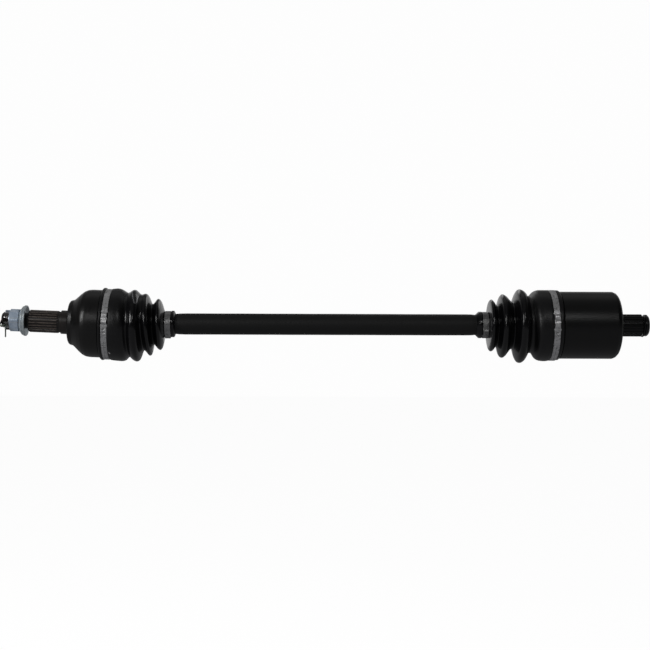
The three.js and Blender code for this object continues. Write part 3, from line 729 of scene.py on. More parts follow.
over = [pin_at(-9.0, -6.95), pin_at(-5.0, -7.12), pin_at(-1.0, -7.15), pin_at(3.0, -7.15), pin_at(6.5, -7.15), pin_at(9.8, -7.15), pin_at(12.4, -6.9), pin_at(14.3, -5.2), pin_at(14.7, -3.2), pin_at(13.9, -1.6), pin_at(12.3, -0.85), pin_at(8, -0.8), pin_at(0, -0.8), pin_at(-8, -0.8), pin_at(-12.2, -0.85),
        pin_at(-13.2, -1.35), pin_at(-14.3, -2.2), pin_at(-15.6, -2.45), pin_at(-16.9, -1.75), pin_at(-17.5, 0), pin_at(-16.9, 1.75), pin_at(-15.6, 2.45), pin_at(-14.3, 2.2), pin_at(-13.2, 1.35), pin_at(-12.2, 0.85), pin_at(-8, 0.8), pin_at(0, 0.8)]
down = [pin_at(8, 0.8), pin_at(12.4, 0.8), pin_at(14.2, 0.8, -0.1), pin_at(15.4, 0.8, -1.0), pin_at(15.7, 0.8, -3.0), pin_at(15.3, 0.85, -6), pin_at(14.9, 0.9, -9.5), pin_at(14.6, 0.9, -12.6)]
pa = smooth(over, 4)
pb = smooth(down, 4)
path = np.vstack([pa, pb])
B0 = np.cross(np.array([1.0, 0, 0]), PIN_D)
Tg = np.gradient(path, axis=0)
Tg /= np.linalg.norm(Tg, axis=1)[:, None]
fr = np.cross(B0, Tg)
split_i = len(pa)
fr[split_i:] = np.sign(fr[split_i - 1] @ np.array([1.0, 0, 0])) * np.array([1.0, 0, 0])
V, F = sweep(path, fr, 0.78, 1.5)
build("cotter_pin_fine", tilt(V), F, M_WIRE, "wheel_end", ["cotter_pin"])


# ------------------------------------------------------------------ band clamps
def clamp_mesh(x, ri, ro, ear_deg, ear_len, ear_h, width=7.2, n=720, big=True, lap=None):
    """Stepless ear clamp: band, pinched ear, side lugs, hook windows, lapped tail, rows of grip dashes."""
    ear = math.radians(ear_deg)
    T = np.arange(n) * 2 * math.pi / n
    S = ((T - ear + math.pi) % (2 * math.pi) - math.pi) * ro           # arc length from the ear's centre, downwards on the -Y side
    hw = width / 2
    # section across the band, outer side from left to right, then the inner side back
    u = np.array([-1.0, -1.0, -0.97, -0.92, -0.8, -0.66, -0.52, -0.38, -0.24, -0.12, 0, 0.12, 0.24, 0.38, 0.52, 0.66, 0.8, 0.92, 0.97, 1.0, 1.0])
    lift = np.array([0.0, 0.72, 0.9, 0.985, 1, 1, 1, 1, 1, 1, 1, 1, 1, 1, 1, 1, 1, 0.985, 0.9, 0.72, 0.0])
    ui = np.array([0.6, 0.2, -0.2, -0.6])
    L2 = ear_len / 2
    e = 1 - sstep(L2 - 2.6, L2, np.abs(S))                              # ear plateau
    crimp = np.exp(-((S / (ear_len * 0.13)) ** 2))
    h_ear = ear_h * e * (1 - 0.30 * crimp)
    lug = np.exp(-(((S - (L2 + 1.2)) / 1.1) ** 4))
    lug2 = np.exp(-(((S + (L2 + 1.2)) / 1.1) ** 4))
    lap = (L2 + (62 if big else 9)) if lap is None else lap
    over = sstep(-L2 - 0.2, -L2 + 0.4, S) * (1 - sstep(lap - 0.6, lap, S))
    V, W = [], []
    for i in range(n):
        t = T[i]
        hx = hw * (1 - 0.10 * e[i] * (1 - crimp[i])) + (0.75 if big else 0.5) * (lug[i] + 0.6 * lug2[i])
        base = ro - ri
        rows = []
        for uu, ll in zip(u, lift):
            h = base * ll
            top = h_ear[i] + 0.55 * over[i]
            # shade is painted light for the strip's colour: negative in the hook windows and between the grip dashes
            # (painted shade), positive on the dash tops (painted highlight)
            mark, shade = 0.0, 0.0
            if ll == 1:
                s = S[i]
                xx = uu * hw
                if big:
                    for sc, dep, wx, ws in ((L2 + 5.2, 0.75, 1.5, 0.95), (L2 + 9.2, 0.75, 1.5, 0.95)):
                        mark -= dep * math.exp(-(((s - sc) / ws) ** 4)) * math.exp(-((xx / wx) ** 4))
                        shade -= 0.8 * math.exp(-(((s - sc) / ws) ** 4)) * math.exp(-((xx / wx) ** 4))
                    if L2 + 20.5 < s < lap - 6:
                        k = (s - (L2 + 20.5)) % 2.7
                        dash = math.exp(-(((k - 1.35) / 0.80) ** 4))
                        idx = int((s - (L2 + 20.5)) // 2.7)
                        cell = dash * ((0.45 + 0.55 * ((idx * 7) % 5) / 4) * math.exp(-(((xx - 1.45) / 0.85) ** 4)) + (0.45 + 0.55 * ((idx * 3 + 2) % 5) / 4) * math.exp(-(((xx + 1.45) / 0.85) ** 4)))
                        mark += 0.42 * cell
                        shade += 1.25 * cell - 0.35
                else:
                    if -L2 - 14 < s < -L2 - 3:
                        k = (s + xx * 0.8) % 1.9
                        mark += 0.14 * math.exp(-(((k - 0.95) / 0.5) ** 4)) * math.exp(-((xx / 2.4) ** 6))
                # pinch creases run along the ear's crown
                mark -= 0.13 * e[i] * math.exp(-(((abs(s) - ear_len * 0.2) / 0.5) ** 2)) * (0.4 + 0.6 * math.exp(-((xx / 1.6) ** 2)))
            rows.append((x + uu * hx, ri + h + ll * top + mark))
            W.append(shade)
        for uu in ui:
            rows.append((x + uu * hx, ri))
            W.append(0.0)
        for (px, pr) in rows:
            V.append((px, -pr * math.sin(t), pr * math.cos(t)))
    k = len(u) + len(ui)
    return np.array(V), grid_faces(n, k, True, True), np.array(W)


V, F, W = clamp_mesh(-259.8, 41.3, 42.15, 81, 15, 1.9)
build("outboard_boot_clamp_large_fine", tilt(V), F, M_BAND, "wheel_end", ["outboard_boot_clamp_large"], sharp=40, wear_and_painted_light=W)
V, F, W = clamp_mesh(270.3, 41.3, 42.15, 84, 17, 1.9)
V[:, 0] -= 0.014 * V[:, 2]
build("inboard_boot_clamp_large_fine", V, F, M_BAND, "inboard_cup", ["inboard_boot_clamp_large"], sharp=40, wear_and_painted_light=W)
V, F, W = clamp_mesh(-188.6, 14.7, 15.45, 165, 8, 1.8, n=360, big=False)
build("outboard_boot_clamp_small_fine", V, F, M_BAND_SMALL, "bar", ["outboard_boot_clamp_small"], sharp=40, wear_and_painted_light=W)
V, F, W = clamp_mesh(191, 14.9, 15.65, 125, 8, 1.4, n=360, big=False)
build("inboard_boot_clamp_small_fine", V, F, M_BAND_SMALL_SHADED, "bar", ["inboard_boot_clamp_small"], sharp=40, wear_and_painted_light=W)

# ------------------------------------------------------------------ bar
o, i_ = OUT_C, IN_C
s_ = 12.3
clipO, clipI = o - s_ - 1.5, i_ + s_
bar_keys = [(o - 17.2, 0), (o - 17.2, 8.4, 0.5), (o - 16.0, 9.7, 0.3), (clipO - 0.35, 9.7), (clipO - 0.35, 9.0), (clipO + 1.85, 9.0), (clipO + 1.85, 9.7)]
bar_splO = np.linspace(clipO + 2.0, o + s_ - 0.2, 10)
mid = [(o + s_, 9.7), (o + s_, 11.3, 0.4), (o + 32, 11.3, 12), (o + 44, 12.0, 12), (-196, 12.1, 8), (-179.2, 12.1, 10), (-174.6, 12.55, 10), (-168, 12.7, 10), (-120, 12.7), (0, 12.7), (120, 12.7),
       (168, 12.7, 10), (174.8, 12.55, 10), (179.4, 12.1, 10), (197, 12.1, 20), (i_ - 62, 11.3, 20), (i_ - s_, 11.3, 0.4), (i_ - s_, 9.7)]
bar_splI = np.linspace(i_ - s_ + 0.2, clipI - 0.5, 10)
end = [(clipI - 0.35, 9.7), (clipI - 0.35, 9.0), (clipI + 1.85, 9.0), (clipI + 1.85, 9.7), (i_ + 16.0, 9.7, 0.3), (i_ + 17.2, 8.4, 0.5), (i_ + 17.2, 0)]
P_bar = np.vstack([rounded(bar_keys, 4), np.stack([bar_splO, np.full(10, 9.7)], 1), dense(rounded(mid, 6), 14), np.stack([bar_splI, np.full(10, 9.7)], 1), rounded(end, 4)])


def warp_bar(X, R, T):
    on = (R > 9.65) & (R < 9.75) & (((X > bar_splO[0] - 0.1) & (X < bar_splO[-1] + 0.1)) | ((X > bar_splI[0] - 0.1) & (X < bar_splI[-1] + 0.1)))
    R = np.where(on, 9.7 + 1.0 * tooth(T, 16, math.pi / 16), R)
    # a rolled bar is never quite even
    skin = (np.abs(X) < 175)
    R = R + np.where(skin, 0.03 * np.sin(X * 0.11) * np.cos(T * 2) + 0.02 * np.sin(X * 0.043 + T), 0)
    return X, R, T


V, F = lathe(P_bar, 128, warp=warp_bar)
build("axle_bar_fine", V, F, M_BAR, "bar", ["axle_bar"], sharp=38)

# ------------------------------------------------------------------ inboard cup and stub
cup_out = [(336 + 50.5, 0), (386.5, 9.6), (386.5, 11.0, 0.9), (384.6, 12.9, 0.9), (381.7, 12.9, 0.25), (381.6, 10.5), (378.4, 10.5), (378.4, 12.25)]
spl_i = np.concatenate([np.linspace(378.25, 377.2, 4), np.linspace(376, 353.8, 9), np.linspace(353.4, 351.5, 6)])
cup_mid = [(351.3, 12.3), (350.2, 13.2, 0.6), (349.0, 14.6, 0.8), (349.0, 33.5, 0.9), (348.2, 36.3, 1.8), (346.1, 38.7, 2.6), (342.7, 40.2, 3.4), (330, 40.2), (300, 40.2), (283, 40.2), (279.8, 40.2, 0.5), (279.1, 39.2, 0.3),
           (257, 39.2, 0.4), (256, 38.2, 0.5), (256, 34.3, 0.5), (258.3, 30.4, 0.4), (259.4, 30.4), (259.4, 32.2), (262.2, 32.2), (262.2, 30.4), (270, 30.4), (280, 30.4), (290, 30.4), (300, 30.4), (315, 30.4), (328, 30.4), (331.85, 30.4), (332.05, 30.2), (334.2, 28, 1.5), (336, 24, 1.5), (336, 0)]
P_cup = np.vstack([rounded(cup_out, 5), np.stack([spl_i, np.full(len(spl_i), 12.3)], 1), dense(rounded(cup_mid, 6, 0.4), 9)])
mouth_row = int(np.argmax((P_cup[:, 0] < 256.5) & (P_cup[:, 1] < 36))) - 1


def warp_cup(X, R, T):
    X, R = X.copy(), R.copy()
    on = (X > 351.4) & (X < 378.3) & (R > 12.2) & (R < 12.4)
    env = sstep(351.5, 353.2, X) * (1 - 0.0 * X)
    R = np.where(on, 12.3 + 1.1 * env * tooth(T, N_SPLINE, math.pi / 24), R)
    inner = np.zeros(X.shape, bool)
    inner[mouth_row:, :] = True
    D = nearest_track(T, math.pi / 6)
    q = 8.9 ** 2 - (26 * np.sin(D)) ** 2
    rt = np.where(q > 0, 26 * np.cos(D) + np.sqrt(np.maximum(q, 0)), 0)
    R = np.where(inner & (X < 332.0) & (R > 30.0), np.maximum(R, rt), R)
    return X, R, T


V, F = lathe(P_cup, 288, warp=warp_cup)
build("inboard_housing_fine", V, F, M_CUP, "inboard_cup", ["inboard_housing"], sharp=38)


# ------------------------------------------------------------------ snap rings
def ring_wire(x, rc, a, b, open_deg, centre_deg=0.0, n=120, dz=0.0):
    """Open ring of rounded-flat wire: a along X, b radial."""
    g = math.radians(open_deg) / 2
    c = math.radians(centre_deg)
    T = np.linspace(c + g, c + 2 * math.pi - g, n)
    path = place(np.full(n, x), np.full(n, rc), T)
    path[:, 2] += dz
    frames = np.repeat(np.array([[1.0, 0, 0]]), n, 0)
    return sweep(path, frames, a, b, 12)


V, F = ring_wire(380.0, 12.45, 0.85, 1.1, 64, dz=-0.4)
build("stub_circlip_fine", V, F, M_DARKWIRE, "inboard_cup", ["stub_circlip"])
V, F = ring_wire(260.8, 30.95, 0.85, 0.9, 24)
build("inboard_wire_ring_fine", V, F, M_WIRE, "inboard_cup", ["inboard_wire_ring"])
V, F = ring_wire(clipO + 0.75, 10.4, 0.7, 1.1, 50)
build("outboard_race_circlip_fine", V, F, M_WIRE, "bar", ["outboard_race_circlip"])
V, F = ring_wire(clipI + 0.75, 10.4, 0.7, 1.1, 50)
build("inboard_race_circlip_fine", V, F, M_WIRE, "bar", ["inboard_race_circlip"])


# ------------------------------------------------------------------ boots
def offset_in(P, t):
    """Curve moved inwards (towards the axis side) along its own normal."""
    d = np.gradient(P, axis=0)
    l = np.hypot(d[:, 0], d[:, 1])
    nx, nr = d[:, 1] / l, -d[:, 0] / l
    return P + np.stack([nx * t, nr * t], 1)


def boot_mesh(name, top, bottom, n, wall, rigid_tilt=None, seed=0.0):
    """top and bottom: outlines (x, r) of equal length, left to right. Returns outer and inner grids in mm."""
    top, bottom = np.asarray(top, float), np.asarray(bottom, float)
    T = np.arange(n) * 2 * math.pi / n

    def surface(a, b):
        c = np.cos(T)[None, :]
        X = (a[:, 0] + b[:, 0])[:, None] / 2 + (a[:, 0] - b[:, 0])[:, None] / 2 * c
        R = (a[:, 1] + b[:, 1])[:, None] / 2 + (a[:, 1] - b[:, 1])[:, None] / 2 * c
        return X, R

    Xo, Ro = surface(top, bottom)
    Xi, Ri = surface(offset_in(top, wall), offset_in(bottom, wall))
    mid = (top[:, 0] + bottom[:, 0])[:, None] / 2
    free = sstep(mid.min() + 6, mid.min() + 16, mid) * (1 - sstep(mid.max() - 16, mid.max() - 6, mid))
    wob = free * (0.16 * np.sin(2 * T[None, :] + mid * 0.21 + seed) + 0.10 * np.sin(3 * T[None, :] - mid * 0.33 + 2 * seed) + 0.05 * np.sin(5 * T[None, :] + mid * 0.5))
    return T, (Xo, Ro + wob), (Xi, Ri + wob)


def boot_pieces(name, V, F, cuts, specs, node):
    """Split a closed boot at planes x = cuts (mm), cap each piece, keep the whole boot's smooth normals."""
    V = np.asarray(V, float)
    if volume(V, F) < 0:
        F = [list(reversed(f)) for f in F]
    bm = bmesh.new()
    vs = [bm.verts.new(p) for p in V]
    bm.verts.ensure_lookup_table()
    for f in F:
        bm.faces.new([vs[k] for k in f])
    for x in cuts:
        bmesh.ops.bisect_plane(bm, geom=bm.verts[:] + bm.edges[:] + bm.faces[:], dist=1e-5, plane_co=(x, 0, 0), plane_no=(1, 0, 0))
    for v in bm.verts:
        for x in cuts:
            if abs(v.co.x - x) < 1e-4:
                v.co.x = x
    bm.normal_update()
    bm.verts.ensure_lookup_table()
    co = np.array([v.co for v in bm.verts])
    nor = np.array([v.normal for v in bm.verts])
    faces = [[v.index for v in f.verts] for f in bm.faces]
    bm.free()
    cx = np.array([co[f, 0].mean() for f in faces])
    edges = [-1e9] + list(cuts) + [1e9]
    made = []
    for k, spec in enumerate(specs):
        pick = [f for f, c in zip(faces, cx) if edges[k] < c < edges[k + 1]]
        used = sorted({v for f in pick for v in f})
        index = {v: n for n, v in enumerate(used)}
        pv, pn = co[used], nor[used]
        pf = [[index[v] for v in f] for f in pick]
        caps = []
        for x in (edges[k], edges[k + 1]):
            if abs(x) > 1e8:
                continue
            # boundary loops on this plane: outer and inner, joined by a ring of quads
            count = {}
            for f in pf:
                for a, b in zip(f, f[1:] + f[:1]):
                    if abs(pv[a][0] - x) < 1e-6 and abs(pv[b][0] - x) < 1e-6:
                        key = (min(a, b), max(a, b))
                        count[key] = count.get(key, []) + [(a, b)]
            bnd = [e[0] for e in count.values() if len(e) == 1]
            nxt = {a: b for a, b in bnd}
            loops = []
            left = set(nxt)
            while left:
                s = left.pop()
                lp = [s]
                c = nxt[s]
                while c != s:
                    lp.append(c)
                    left.discard(c)
                    c = nxt[c]
                loops.append(lp)
            if len(loops) != 2:
                raise RuntimeError(f"{name}: {len(loops)} loops at {x}")
            loops.sort(key=lambda lp: np.hypot(pv[lp][:, 1], pv[lp][:, 2]).mean())
            inner, outer = loops
            ang = lambda v: math.atan2(pv[v][1], pv[v][2])

            def ordered(lp):
                z = sorted(lp, key=ang)
                return z
            A, B = ordered(outer), ordered(inner)
            aa, bb = [ang(v) for v in A], [ang(v) for v in B]
            i = j = 0
            na, nb = len(A), len(B)
            while i < na or j < nb:
                a0, b0 = A[i % na], B[j % nb]
                ta = aa[i + 1] if i + 1 < na else (aa[0] + 2 * math.pi if i < na else 99)
                tb = bb[j + 1] if j + 1 < nb else (bb[0] + 2 * math.pi if j < nb else 99)
                if j >= nb or (i < na and ta <= tb):
                    caps.append(([a0, A[(i + 1) % na], b0], x))
                    i += 1
                else:
                    caps.append(([a0, B[(j + 1) % nb], b0], x))
                    j += 1
        cap_faces = []
        for tri, x in caps:
            p = pv[tri]
            nn = np.cross(p[1] - p[0], p[2] - p[0])
            want = 1.0 if x == edges[k + 1] else -1.0
            if np.linalg.norm(nn) < 1e-12:
                continue
            if nn[0] * want < 0:
                tri = tri[::-1]
            cap_faces.append((tri, want))
        me = bpy.data.meshes.new(spec["name"])
        allf = pf + [t for t, _ in cap_faces]
        me.from_pydata((pv * MM).tolist(), [], allf)
        me.update()
        me.materials.append(M_RUBBER)
        me.polygons.foreach_set("use_smooth", [True] * len(me.polygons))
        normals = []
        for f in pf:
            normals += [pn[v] for v in f]
        for t, want in cap_faces:
            normals += [(want, 0, 0)] * 3
        me.normals_split_custom_set([tuple(map(float, v)) for v in normals])
        ob = bpy.data.objects.new(spec["name"], me)
        bpy.context.scene.collection.objects.link(ob)
        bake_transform(ob)
        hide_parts(node)
        made.append(ob)
    return made


# outboard boot: outline of the top and of the underside, from the bell to the bar
ob_top = [(-254.6, 42.0), (-252.0, 42.3), (-247.5, 42.3), (-243.2, 41.1), (-239.5, 38.9), (-237.4, 37.5), (-236.2, 37.2), (-234.8, 37.6), (-232.6, 39.0), (-230.6, 40.3), (-228.6, 40.8), (-226.6, 40.3), (-224.2, 38.3), (-222.0, 36.2),
          (-220.2, 35.5), (-218.6, 35.7), (-216.0, 36.2), (-213.6, 35.2), (-211.4, 32.0), (-209.4, 27.2), (-208.0, 24.4), (-206.9, 23.8), (-205.4, 24.8), (-203.4, 27.3), (-201.8, 29.4), (-200.4, 30.1), (-198.9, 29.4), (-197.1, 26.9), (-195.3, 22.4), (-194.0, 18.4), (-193.0, 15.6)]
ob_bot = [(-254.6, 43.9), (-252.0, 44.4), (-247.5, 44.9), (-242.6, 44.8), (-238.9, 43.5), (-236.4, 41.0), (-234.9, 39.8), (-233.3, 40.5), (-231.0, 42.7), (-228.2, 44.6), (-225.4, 45.3), (-223.2, 44.4), (-221.2, 41.0), (-218.9, 34.4),
          (-217.2, 32.0), (-215.0, 33.3), (-210.4, 38.3), (-208.6, 37.4), (-207.4, 33.6), (-206.4, 28.6), (-205.8, 25.6), (-205.2, 24.7), (-203.7, 26.0), (-201.0, 29.2), (-199.2, 30.8), (-197.6, 31.2), (-196.3, 30.2), (-195.1, 27.6), (-194.0, 23.4), (-193.2, 19.0), (-192.7, 15.6)]
mid_top, mid_bot = smooth(ob_top, 5), smooth(ob_bot, 5)
neck = rounded([(-192.8, 15.4), (-192.5, 14.4, 0.5), (-184.8, 14.4, 0.3), (-184.3, 15.9, 0.5), (-181.4, 15.9, 0.6), (-180.1, 13.7, 0.5), (-180.0, 12.9, 0.2), (-180.0, 12.45)], 4)
cuff = rounded([(-267.3, 39.62), (-267.3, 42.4, 0.6), (-266.0, 43.4, 0.6), (-264.0, 43.3, 0.4), (-263.7, 41.05, 0.3), (-255.9, 41.05, 0.3), (-255.7, 42.4, 0.3), (-255.2, 42.9)], 4)


def cuff_side(sign):
    """The cuff is round about the bent axis: its outline on the top (+1) or underside (-1)."""
    out = []
    for x, r in cuff:
        p = tilt(np.array([x, 0, sign * r]))
        out.append((p[0], abs(p[2])))
    return np.array(out)


top_line = np.vstack([cuff_side(1), mid_top, neck])
bot_line = np.vstack([cuff_side(-1), mid_bot, neck])


def boot_closed(name, top_line, bot_line, wall_fn, seed, left_inner, right_inner, n=160):
    T, (Xo, Ro), (Xi, Ri) = boot_mesh(name, top_line, bot_line, n, 1.7, seed=seed)
    # seat limits for the inside, computed but not applied
    lo, hi = left_inner(Xi), right_inner(Xi)
    V_out = place(Xo, Ro, np.repeat(T[None, :], len(Xo), 0))
    return T, Xo, Ro, Xi, Ri


def finish_boot(T, Xo, Ro, inner_rows):
    """inner_rows: list of (X, R) arrays over T from right to left. Closed ring of rows."""
    n = len(T)
    rows = [(Xo[k], Ro[k]) for k in range(len(Xo))] + inner_rows
    V = np.vstack([place(x, r, T) for x, r in rows])
    return V, grid_faces(len(rows), n, True, True)


def boot(name, top_line, bot_line, seed, seats, n=160, wall=1.7):
    """seats: {"left": (outline top, outline bottom), "right": ...}: the inner surface where the cuffs sit, right to left."""
    T, (Xo, Ro), (Xi, Ri) = boot_mesh(name, top_line, bot_line, n, wall, seed=seed)
    c = np.cos(T)

    def row(t, b):
        return ((t[0] + b[0]) / 2 + (t[0] - b[0]) / 2 * c, (t[1] + b[1]) / 2 + (t[1] - b[1]) / 2 * c)
    mid = Xi.mean(1)
    inner = [row(t, b) for t, b in seats["right"]]
    inner += [(Xi[k], Ri[k]) for k in range(len(Xi) - 1, -1, -1) if seats["between"][0] < mid[k] < seats["between"][1]]
    inner += [row(t, b) for t, b in seats["left"]]
    return finish_boot(T, Xo, Ro, inner)


def tilted_pair(x, r):
    a, b = tilt(np.array([x, 0, r])), tilt(np.array([x, 0, -r]))
    return ((a[0], abs(a[2])), (b[0], abs(b[2])))


seats_ob = {
    "right": [((-180.6, 12.42),) * 2, ((-185.0, 12.42),) * 2, ((-189.0, 12.42),) * 2, ((-192.4, 12.45),) * 2, ((-193.4, 13.2),) * 2],
    "between": (-252.5, -194.6),
    "left": [tilted_pair(-255.2, 41.0), tilted_pair(-255.9, 39.9), tilted_pair(-256.6, 39.62), tilted_pair(-261.0, 39.62), tilted_pair(-266.5, 39.62)],
}
V, F = boot("outboard_boot", top_line, bot_line, 0.7, seats_ob)
boot_pieces("outboard_boot", V, F, [-250, -226, -203], [
    dict(name="outboard_boot_cuff", a="outboard_bell_link", b="wheel_end", start=-250, end=-257.5),
    dict(name="outboard_boot_fold_large", a="outboard_cage_set", b="outboard_bell_link", start=-226, end=-250),
    dict(name="outboard_boot_fold_middle", a="outboard_tilt_balls", b="outboard_cage_set", start=-203, end=-226),
    dict(name="outboard_boot_fold_small", a="bar", b="outboard_tilt_balls", start=-192, end=-203),
], "outboard_boot")

# inboard boot
ib_top = [(195.1, 16.4), (195.3, 20), (195.8, 25.6), (196.8, 29.2), (198.5, 30.6), (200.6, 29.1), (202.8, 25.9), (204.0, 24.2), (205.1, 23.9), (206.3, 25.4), (207.6, 29.6), (209.2, 34.4), (211.6, 36.9), (214.6, 35.8), (217.6, 33.4), (220.6, 30.0), (222.8, 28.5), (224.4, 30.0), (226.0, 34.6),
          (228.4, 40.0), (230.4, 42.3), (232.4, 42.8), (234.6, 42.2), (237.4, 40.3), (239.6, 37.6), (240.9, 35.4), (242.0, 34.9), (243.6, 35.3), (245.6, 37.0), (247.8, 39.5), (250.4, 41.1), (254.0, 41.9), (259.5, 42.0), (263.2, 42.0)]
ib_bot = [(194.9, 16.6), (195.0, 20.8), (195.4, 26.8), (196.3, 30.4), (198.2, 31.8), (200.2, 30.6), (202.2, 28.0), (203.4, 26.6), (204.4, 26.3), (205.6, 28.0), (206.9, 32.6), (208.6, 37.4), (211.2, 39.2), (214.2, 37.8), (217.4, 34.0), (220.4, 30.2), (222.8, 28.7), (224.4, 30.0), (226.0, 35.2),
          (228.2, 42.2), (230.2, 44.8), (232.4, 45.4), (234.6, 44.8), (237.2, 42.4), (239.6, 38.4), (241.4, 34.6), (243.4, 33.5), (245.6, 33.5), (247.4, 34.9), (249.4, 38.0), (251.6, 41.0), (255.0, 42.8), (259.5, 43.2), (263.2, 43.0)]
mt, mb = smooth(ib_top, 5), smooth(ib_bot, 5)
neck_i = rounded([(180.2, 12.45), (180.2, 12.9, 0.2), (181.1, 13.7, 0.4), (183.4, 15.9, 0.6), (186.7, 15.9, 0.5), (187.1, 14.6, 0.3), (194.6, 14.6, 0.3), (194.95, 15.6)], 4)
cuff_i = rounded([(264.9, 42.0), (266.0, 41.9, 0.4), (266.3, 41.05, 0.3), (274.3, 41.05, 0.3), (274.5, 41.9, 0.3), (277.6, 41.8, 0.8), (278.8, 40.6, 0.4), (278.8, 39.55)], 4)
cuff_b = cuff_i.copy()
cuff_b[:, 1] += np.interp(cuff_b[:, 0], [264.9, 266.0, 266.25], [0.8, 0.5, 0.0])
lean = 0.57 * np.interp(cuff_i[:, 0], [264.9, 266, 275, 278], [0, 1, 1, 0])
cuff_b[:, 0] += lean
cuff_i[:, 0] -= lean
top_i = np.vstack([neck_i, mt, cuff_i])
bot_i = np.vstack([neck_i, mb, cuff_b])
seats_ib = {
    "right": [((278.3, 39.52),) * 2, ((270.0, 39.52),) * 2, ((262.0, 39.52),) * 2, ((257.4, 39.52),) * 2, ((256.2, 39.9),) * 2, ((255.2, 40.2),) * 2],
    "between": (196.6, 252.8),
    "left": [((195.0, 12.9),) * 2, ((194.0, 12.45),) * 2, ((190.0, 12.42),) * 2, ((185.0, 12.42),) * 2, ((180.8, 12.42),) * 2],
}
V, F = boot("inboard_boot", top_i, bot_i, 2.1, seats_ib)
boot_pieces("inboard_boot", V, F, [235], [
    dict(name="inboard_boot_small_end", a="inboard_plunger", b="bar", start=235, end=212),
    dict(name="inboard_boot_large_end", a="inboard_cup", b="inboard_plunger", start=258, end=235),
], "inboard_boot")

# ------------------------------------------------------------------ carried-over CAD nodes
for name, ob in frame["nodes"].items():
    if ob.hide_render:
        continue
    m = M_CAGE if "cage" in name else M_RACE if "race" in name else M_BALL if "ball" in name else M_WIRE
    ob.data.materials.clear()
    ob.data.materials.append(m)

# ------------------------------------------------------------------ stage, light, camera
scene = bpy.context.scene
floor_z = -0.43


def camera_only(name, seen, unseen):
    """Pale surface: what the camera sees is near white, what the object sees is dimmer."""
    m = bpy.data.materials.new(name)
    m.use_nodes = True
    nt = m.node_tree
    nt.nodes.clear()
    out = nt.nodes.new("ShaderNodeOutputMaterial")
    lp = nt.nodes.new("ShaderNodeLightPath")
    e1, e2, mix = nt.nodes.new("ShaderNodeEmission"), nt.nodes.new("ShaderNodeEmission"), nt.nodes.new("ShaderNodeMixShader")
    e1.inputs["Color"].default_value = (unseen[0],) * 3 + (1,)
    e1.inputs["Strength"].default_value = 1
    e2.inputs["Color"].default_value = (seen,) * 3 + (1,)
    e2.inputs["Strength"].default_value = 1
    nt.links.new(lp.outputs["Is Camera Ray"], mix.inputs[0])
    nt.links.new(e1.outputs[0], mix.inputs[1])
    nt.links.new(e2.outputs[0], mix.inputs[2])
    nt.links.new(mix.outputs[0], out.inputs[0])
    return m


def plane(name, pts, mat):
    me = bpy.data.meshes.new(name)
    me.from_pydata(pts, [], [[0, 1, 2, 3]])
    me.materials.append(mat)
    ob = bpy.data.objects.new(name, me)
    scene.collection.objects.link(ob)
    return ob


# floor: white card, lit softly, with a little glow so that it stays clean white
mfl = bpy.data.materials.new("floor_card")
mfl.use_nodes = True
nt = mfl.node_tree
nt.nodes.clear()
out = nt.nodes.new("ShaderNodeOutputMaterial")
lp = nt.nodes.new("ShaderNodeLightPath")
dif = nt.nodes.new("ShaderNodeBsdfDiffuse")
dif.inputs["Color"].default_value = (0.16, 0.16, 0.16, 1)
em = nt.nodes.new("ShaderNodeEmission")
em.inputs["Color"].default_value = (1, 1, 1, 1)
em.inputs["Strength"].default_value = 0.955
add = nt.nodes.new("ShaderNodeAddShader")
dark = nt.nodes.new("ShaderNodeEmission")
dark.inputs["Color"].default_value = (0.16, 0.16, 0.165, 1)
mix = nt.nodes.new("ShaderNodeMixShader")
nt.links.new(dif.outputs[0], add.inputs[0])
nt.links.new(em.outputs[0], add.inputs[1])
nt.links.new(lp.outputs["Is Camera Ray"], mix.inputs[0])
nt.links.new(dark.outputs[0], mix.inputs[1])
nt.links.new(add.outputs[0], mix.inputs[2])
nt.links.new(mix.outputs[0], out.inputs[0])
plane("floor", [(-6, -6, floor_z), (6, -6, floor_z), (6, 6, floor_z), (-6, 6, floor_z)], mfl)

world = bpy.data.worlds.new("studio")
scene.world = world
world.use_nodes = True
wt = world.node_tree
wt.nodes.clear()
wo = wt.nodes.new("ShaderNodeOutputWorld")
bg_cam, bg_env, wmix, wlp = wt.nodes.new("ShaderNodeBackground"), wt.nodes.new("ShaderNodeBackground"), wt.nodes.new("ShaderNodeMixShader"), wt.nodes.new("ShaderNodeLightPath")
bg_cam.inputs["Color"].default_value = (0.985, 0.985, 0.985, 1)
tc = wt.nodes.new("ShaderNodeTexCoord")
sp = wt.nodes.new("ShaderNodeSeparateXYZ")
wt.links.new(tc.outputs["Generated"], sp.inputs[0])


def wmath(op, a, b=0.0, clamp=False):
    m = wt.nodes.new("ShaderNodeMath")
    m.operation = op
    m.use_clamp = clamp
    for s, v in zip(m.inputs, (a, b)):
        if isinstance(v, bpy.types.NodeSocket):
            wt.links.new(v, s)
        else:
            s.default_value = v
    return m.outputs[0]


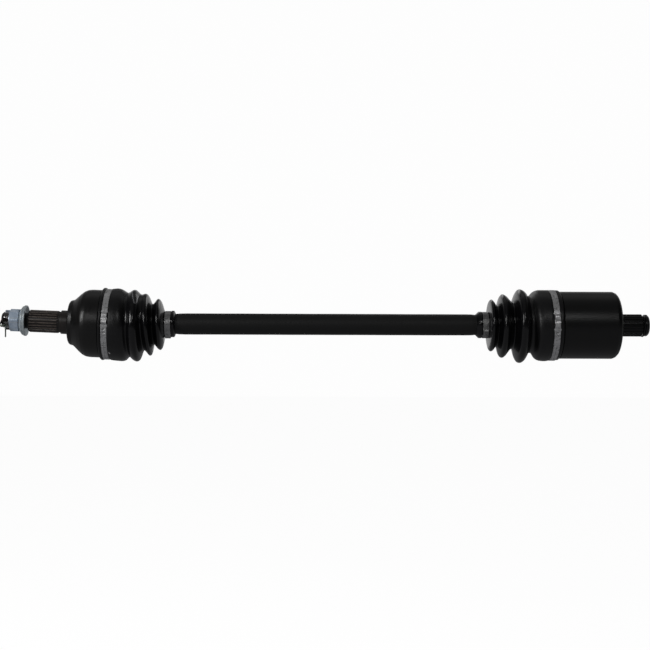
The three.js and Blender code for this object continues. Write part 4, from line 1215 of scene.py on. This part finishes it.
# bright behind and above, dark in front (the camera side is -Y)
back = wmath("MULTIPLY", wmath("ADD", sp.outputs["Y"], -0.25, False), 1.6, True)
up = wmath("MULTIPLY", wmath("ADD", sp.outputs["Z"], -0.60, False), 1.6, True)
low = wmath("SUBTRACT", 1.0, wmath("MULTIPLY", wmath("SUBTRACT", wmath("ABSOLUTE", sp.outputs["Z"]), 0.24), 3.2), True)
low = wmath("MINIMUM", wmath("MAXIMUM", low, 0.0), 1.0)
level = wmath("ADD", wmath("ADD", wmath("MULTIPLY", wmath("MULTIPLY", back, low), 0.50), wmath("MULTIPLY", back, 0.10)), wmath("ADD", wmath("MULTIPLY", up, 0.15), 0.032))
cb = wt.nodes.new("ShaderNodeCombineXYZ")
for k in range(3):
    wt.links.new(level, cb.inputs[k])
wt.links.new(cb.outputs[0], bg_env.inputs["Color"])
wt.links.new(wlp.outputs["Is Camera Ray"], wmix.inputs[0])
wt.links.new(bg_env.outputs[0], wmix.inputs[1])
wt.links.new(bg_cam.outputs[0], wmix.inputs[2])
wt.links.new(wmix.outputs[0], wo.inputs[0])


def area(name, az, el, dist, sx, sy, power, target=(0, 0, 0)):
    """Softbox at an azimuth from the camera direction (right positive) and an elevation."""
    a, e = math.radians(az), math.radians(el)
    d = Vector((math.sin(a) * math.cos(e), -math.cos(a) * math.cos(e), math.sin(e)))
    li = bpy.data.lights.new(name, "AREA")
    li.shape = "RECTANGLE"
    li.size, li.size_y = sx, sy
    li.energy = power
    ob = bpy.data.objects.new(name, li)
    ob.location = Vector(target) + d * dist
    ob.rotation_euler = (-d).to_track_quat("-Z", "Y").to_euler()
    scene.collection.objects.link(ob)
    return ob


area("key_left", -57, 18, 1.75, 0.18, 0.62, 6.2)
area("fill_left", -22, 21, 1.9, 0.40, 0.50, 1.9)
area("key_right", 16, 28, 1.9, 0.16, 0.30, 1.9)
area("overhead", 180, 68, 1.6, 2.2, 0.7, 0.7)
area("low_front", -6, -58, 1.5, 1.6, 0.5, 1.3)
# small soft strip behind, out of the camera's sight: sheen on the right flanks of the left boot's folds
sheen = area("sheen_right", 163, 34, 0.52, 0.26, 0.16, 0.13, target=(0, 0, 0))
sheen.visible_camera = False

cam_d = bpy.data.cameras.new("camera")
cam = bpy.data.objects.new("camera", cam_d)
DIST = 1.5
CAM_X = -0.030
cam_d.sensor_width = 36
cam_d.lens = 36 * DIST / 0.780
cam_d.clip_end = 100
cam.location = (CAM_X, -DIST, -0.0008)
cam_d.shift_x = (-0.0006 - CAM_X) / 0.780
cam.rotation_euler = (math.radians(90), math.radians(-0.19), 0)
scene.collection.objects.link(cam)
scene.camera = cam

scene.view_settings.view_transform = "Standard"
scene.view_settings.look = "None"
scene.view_settings.exposure = 0
scene.view_settings.gamma = 1
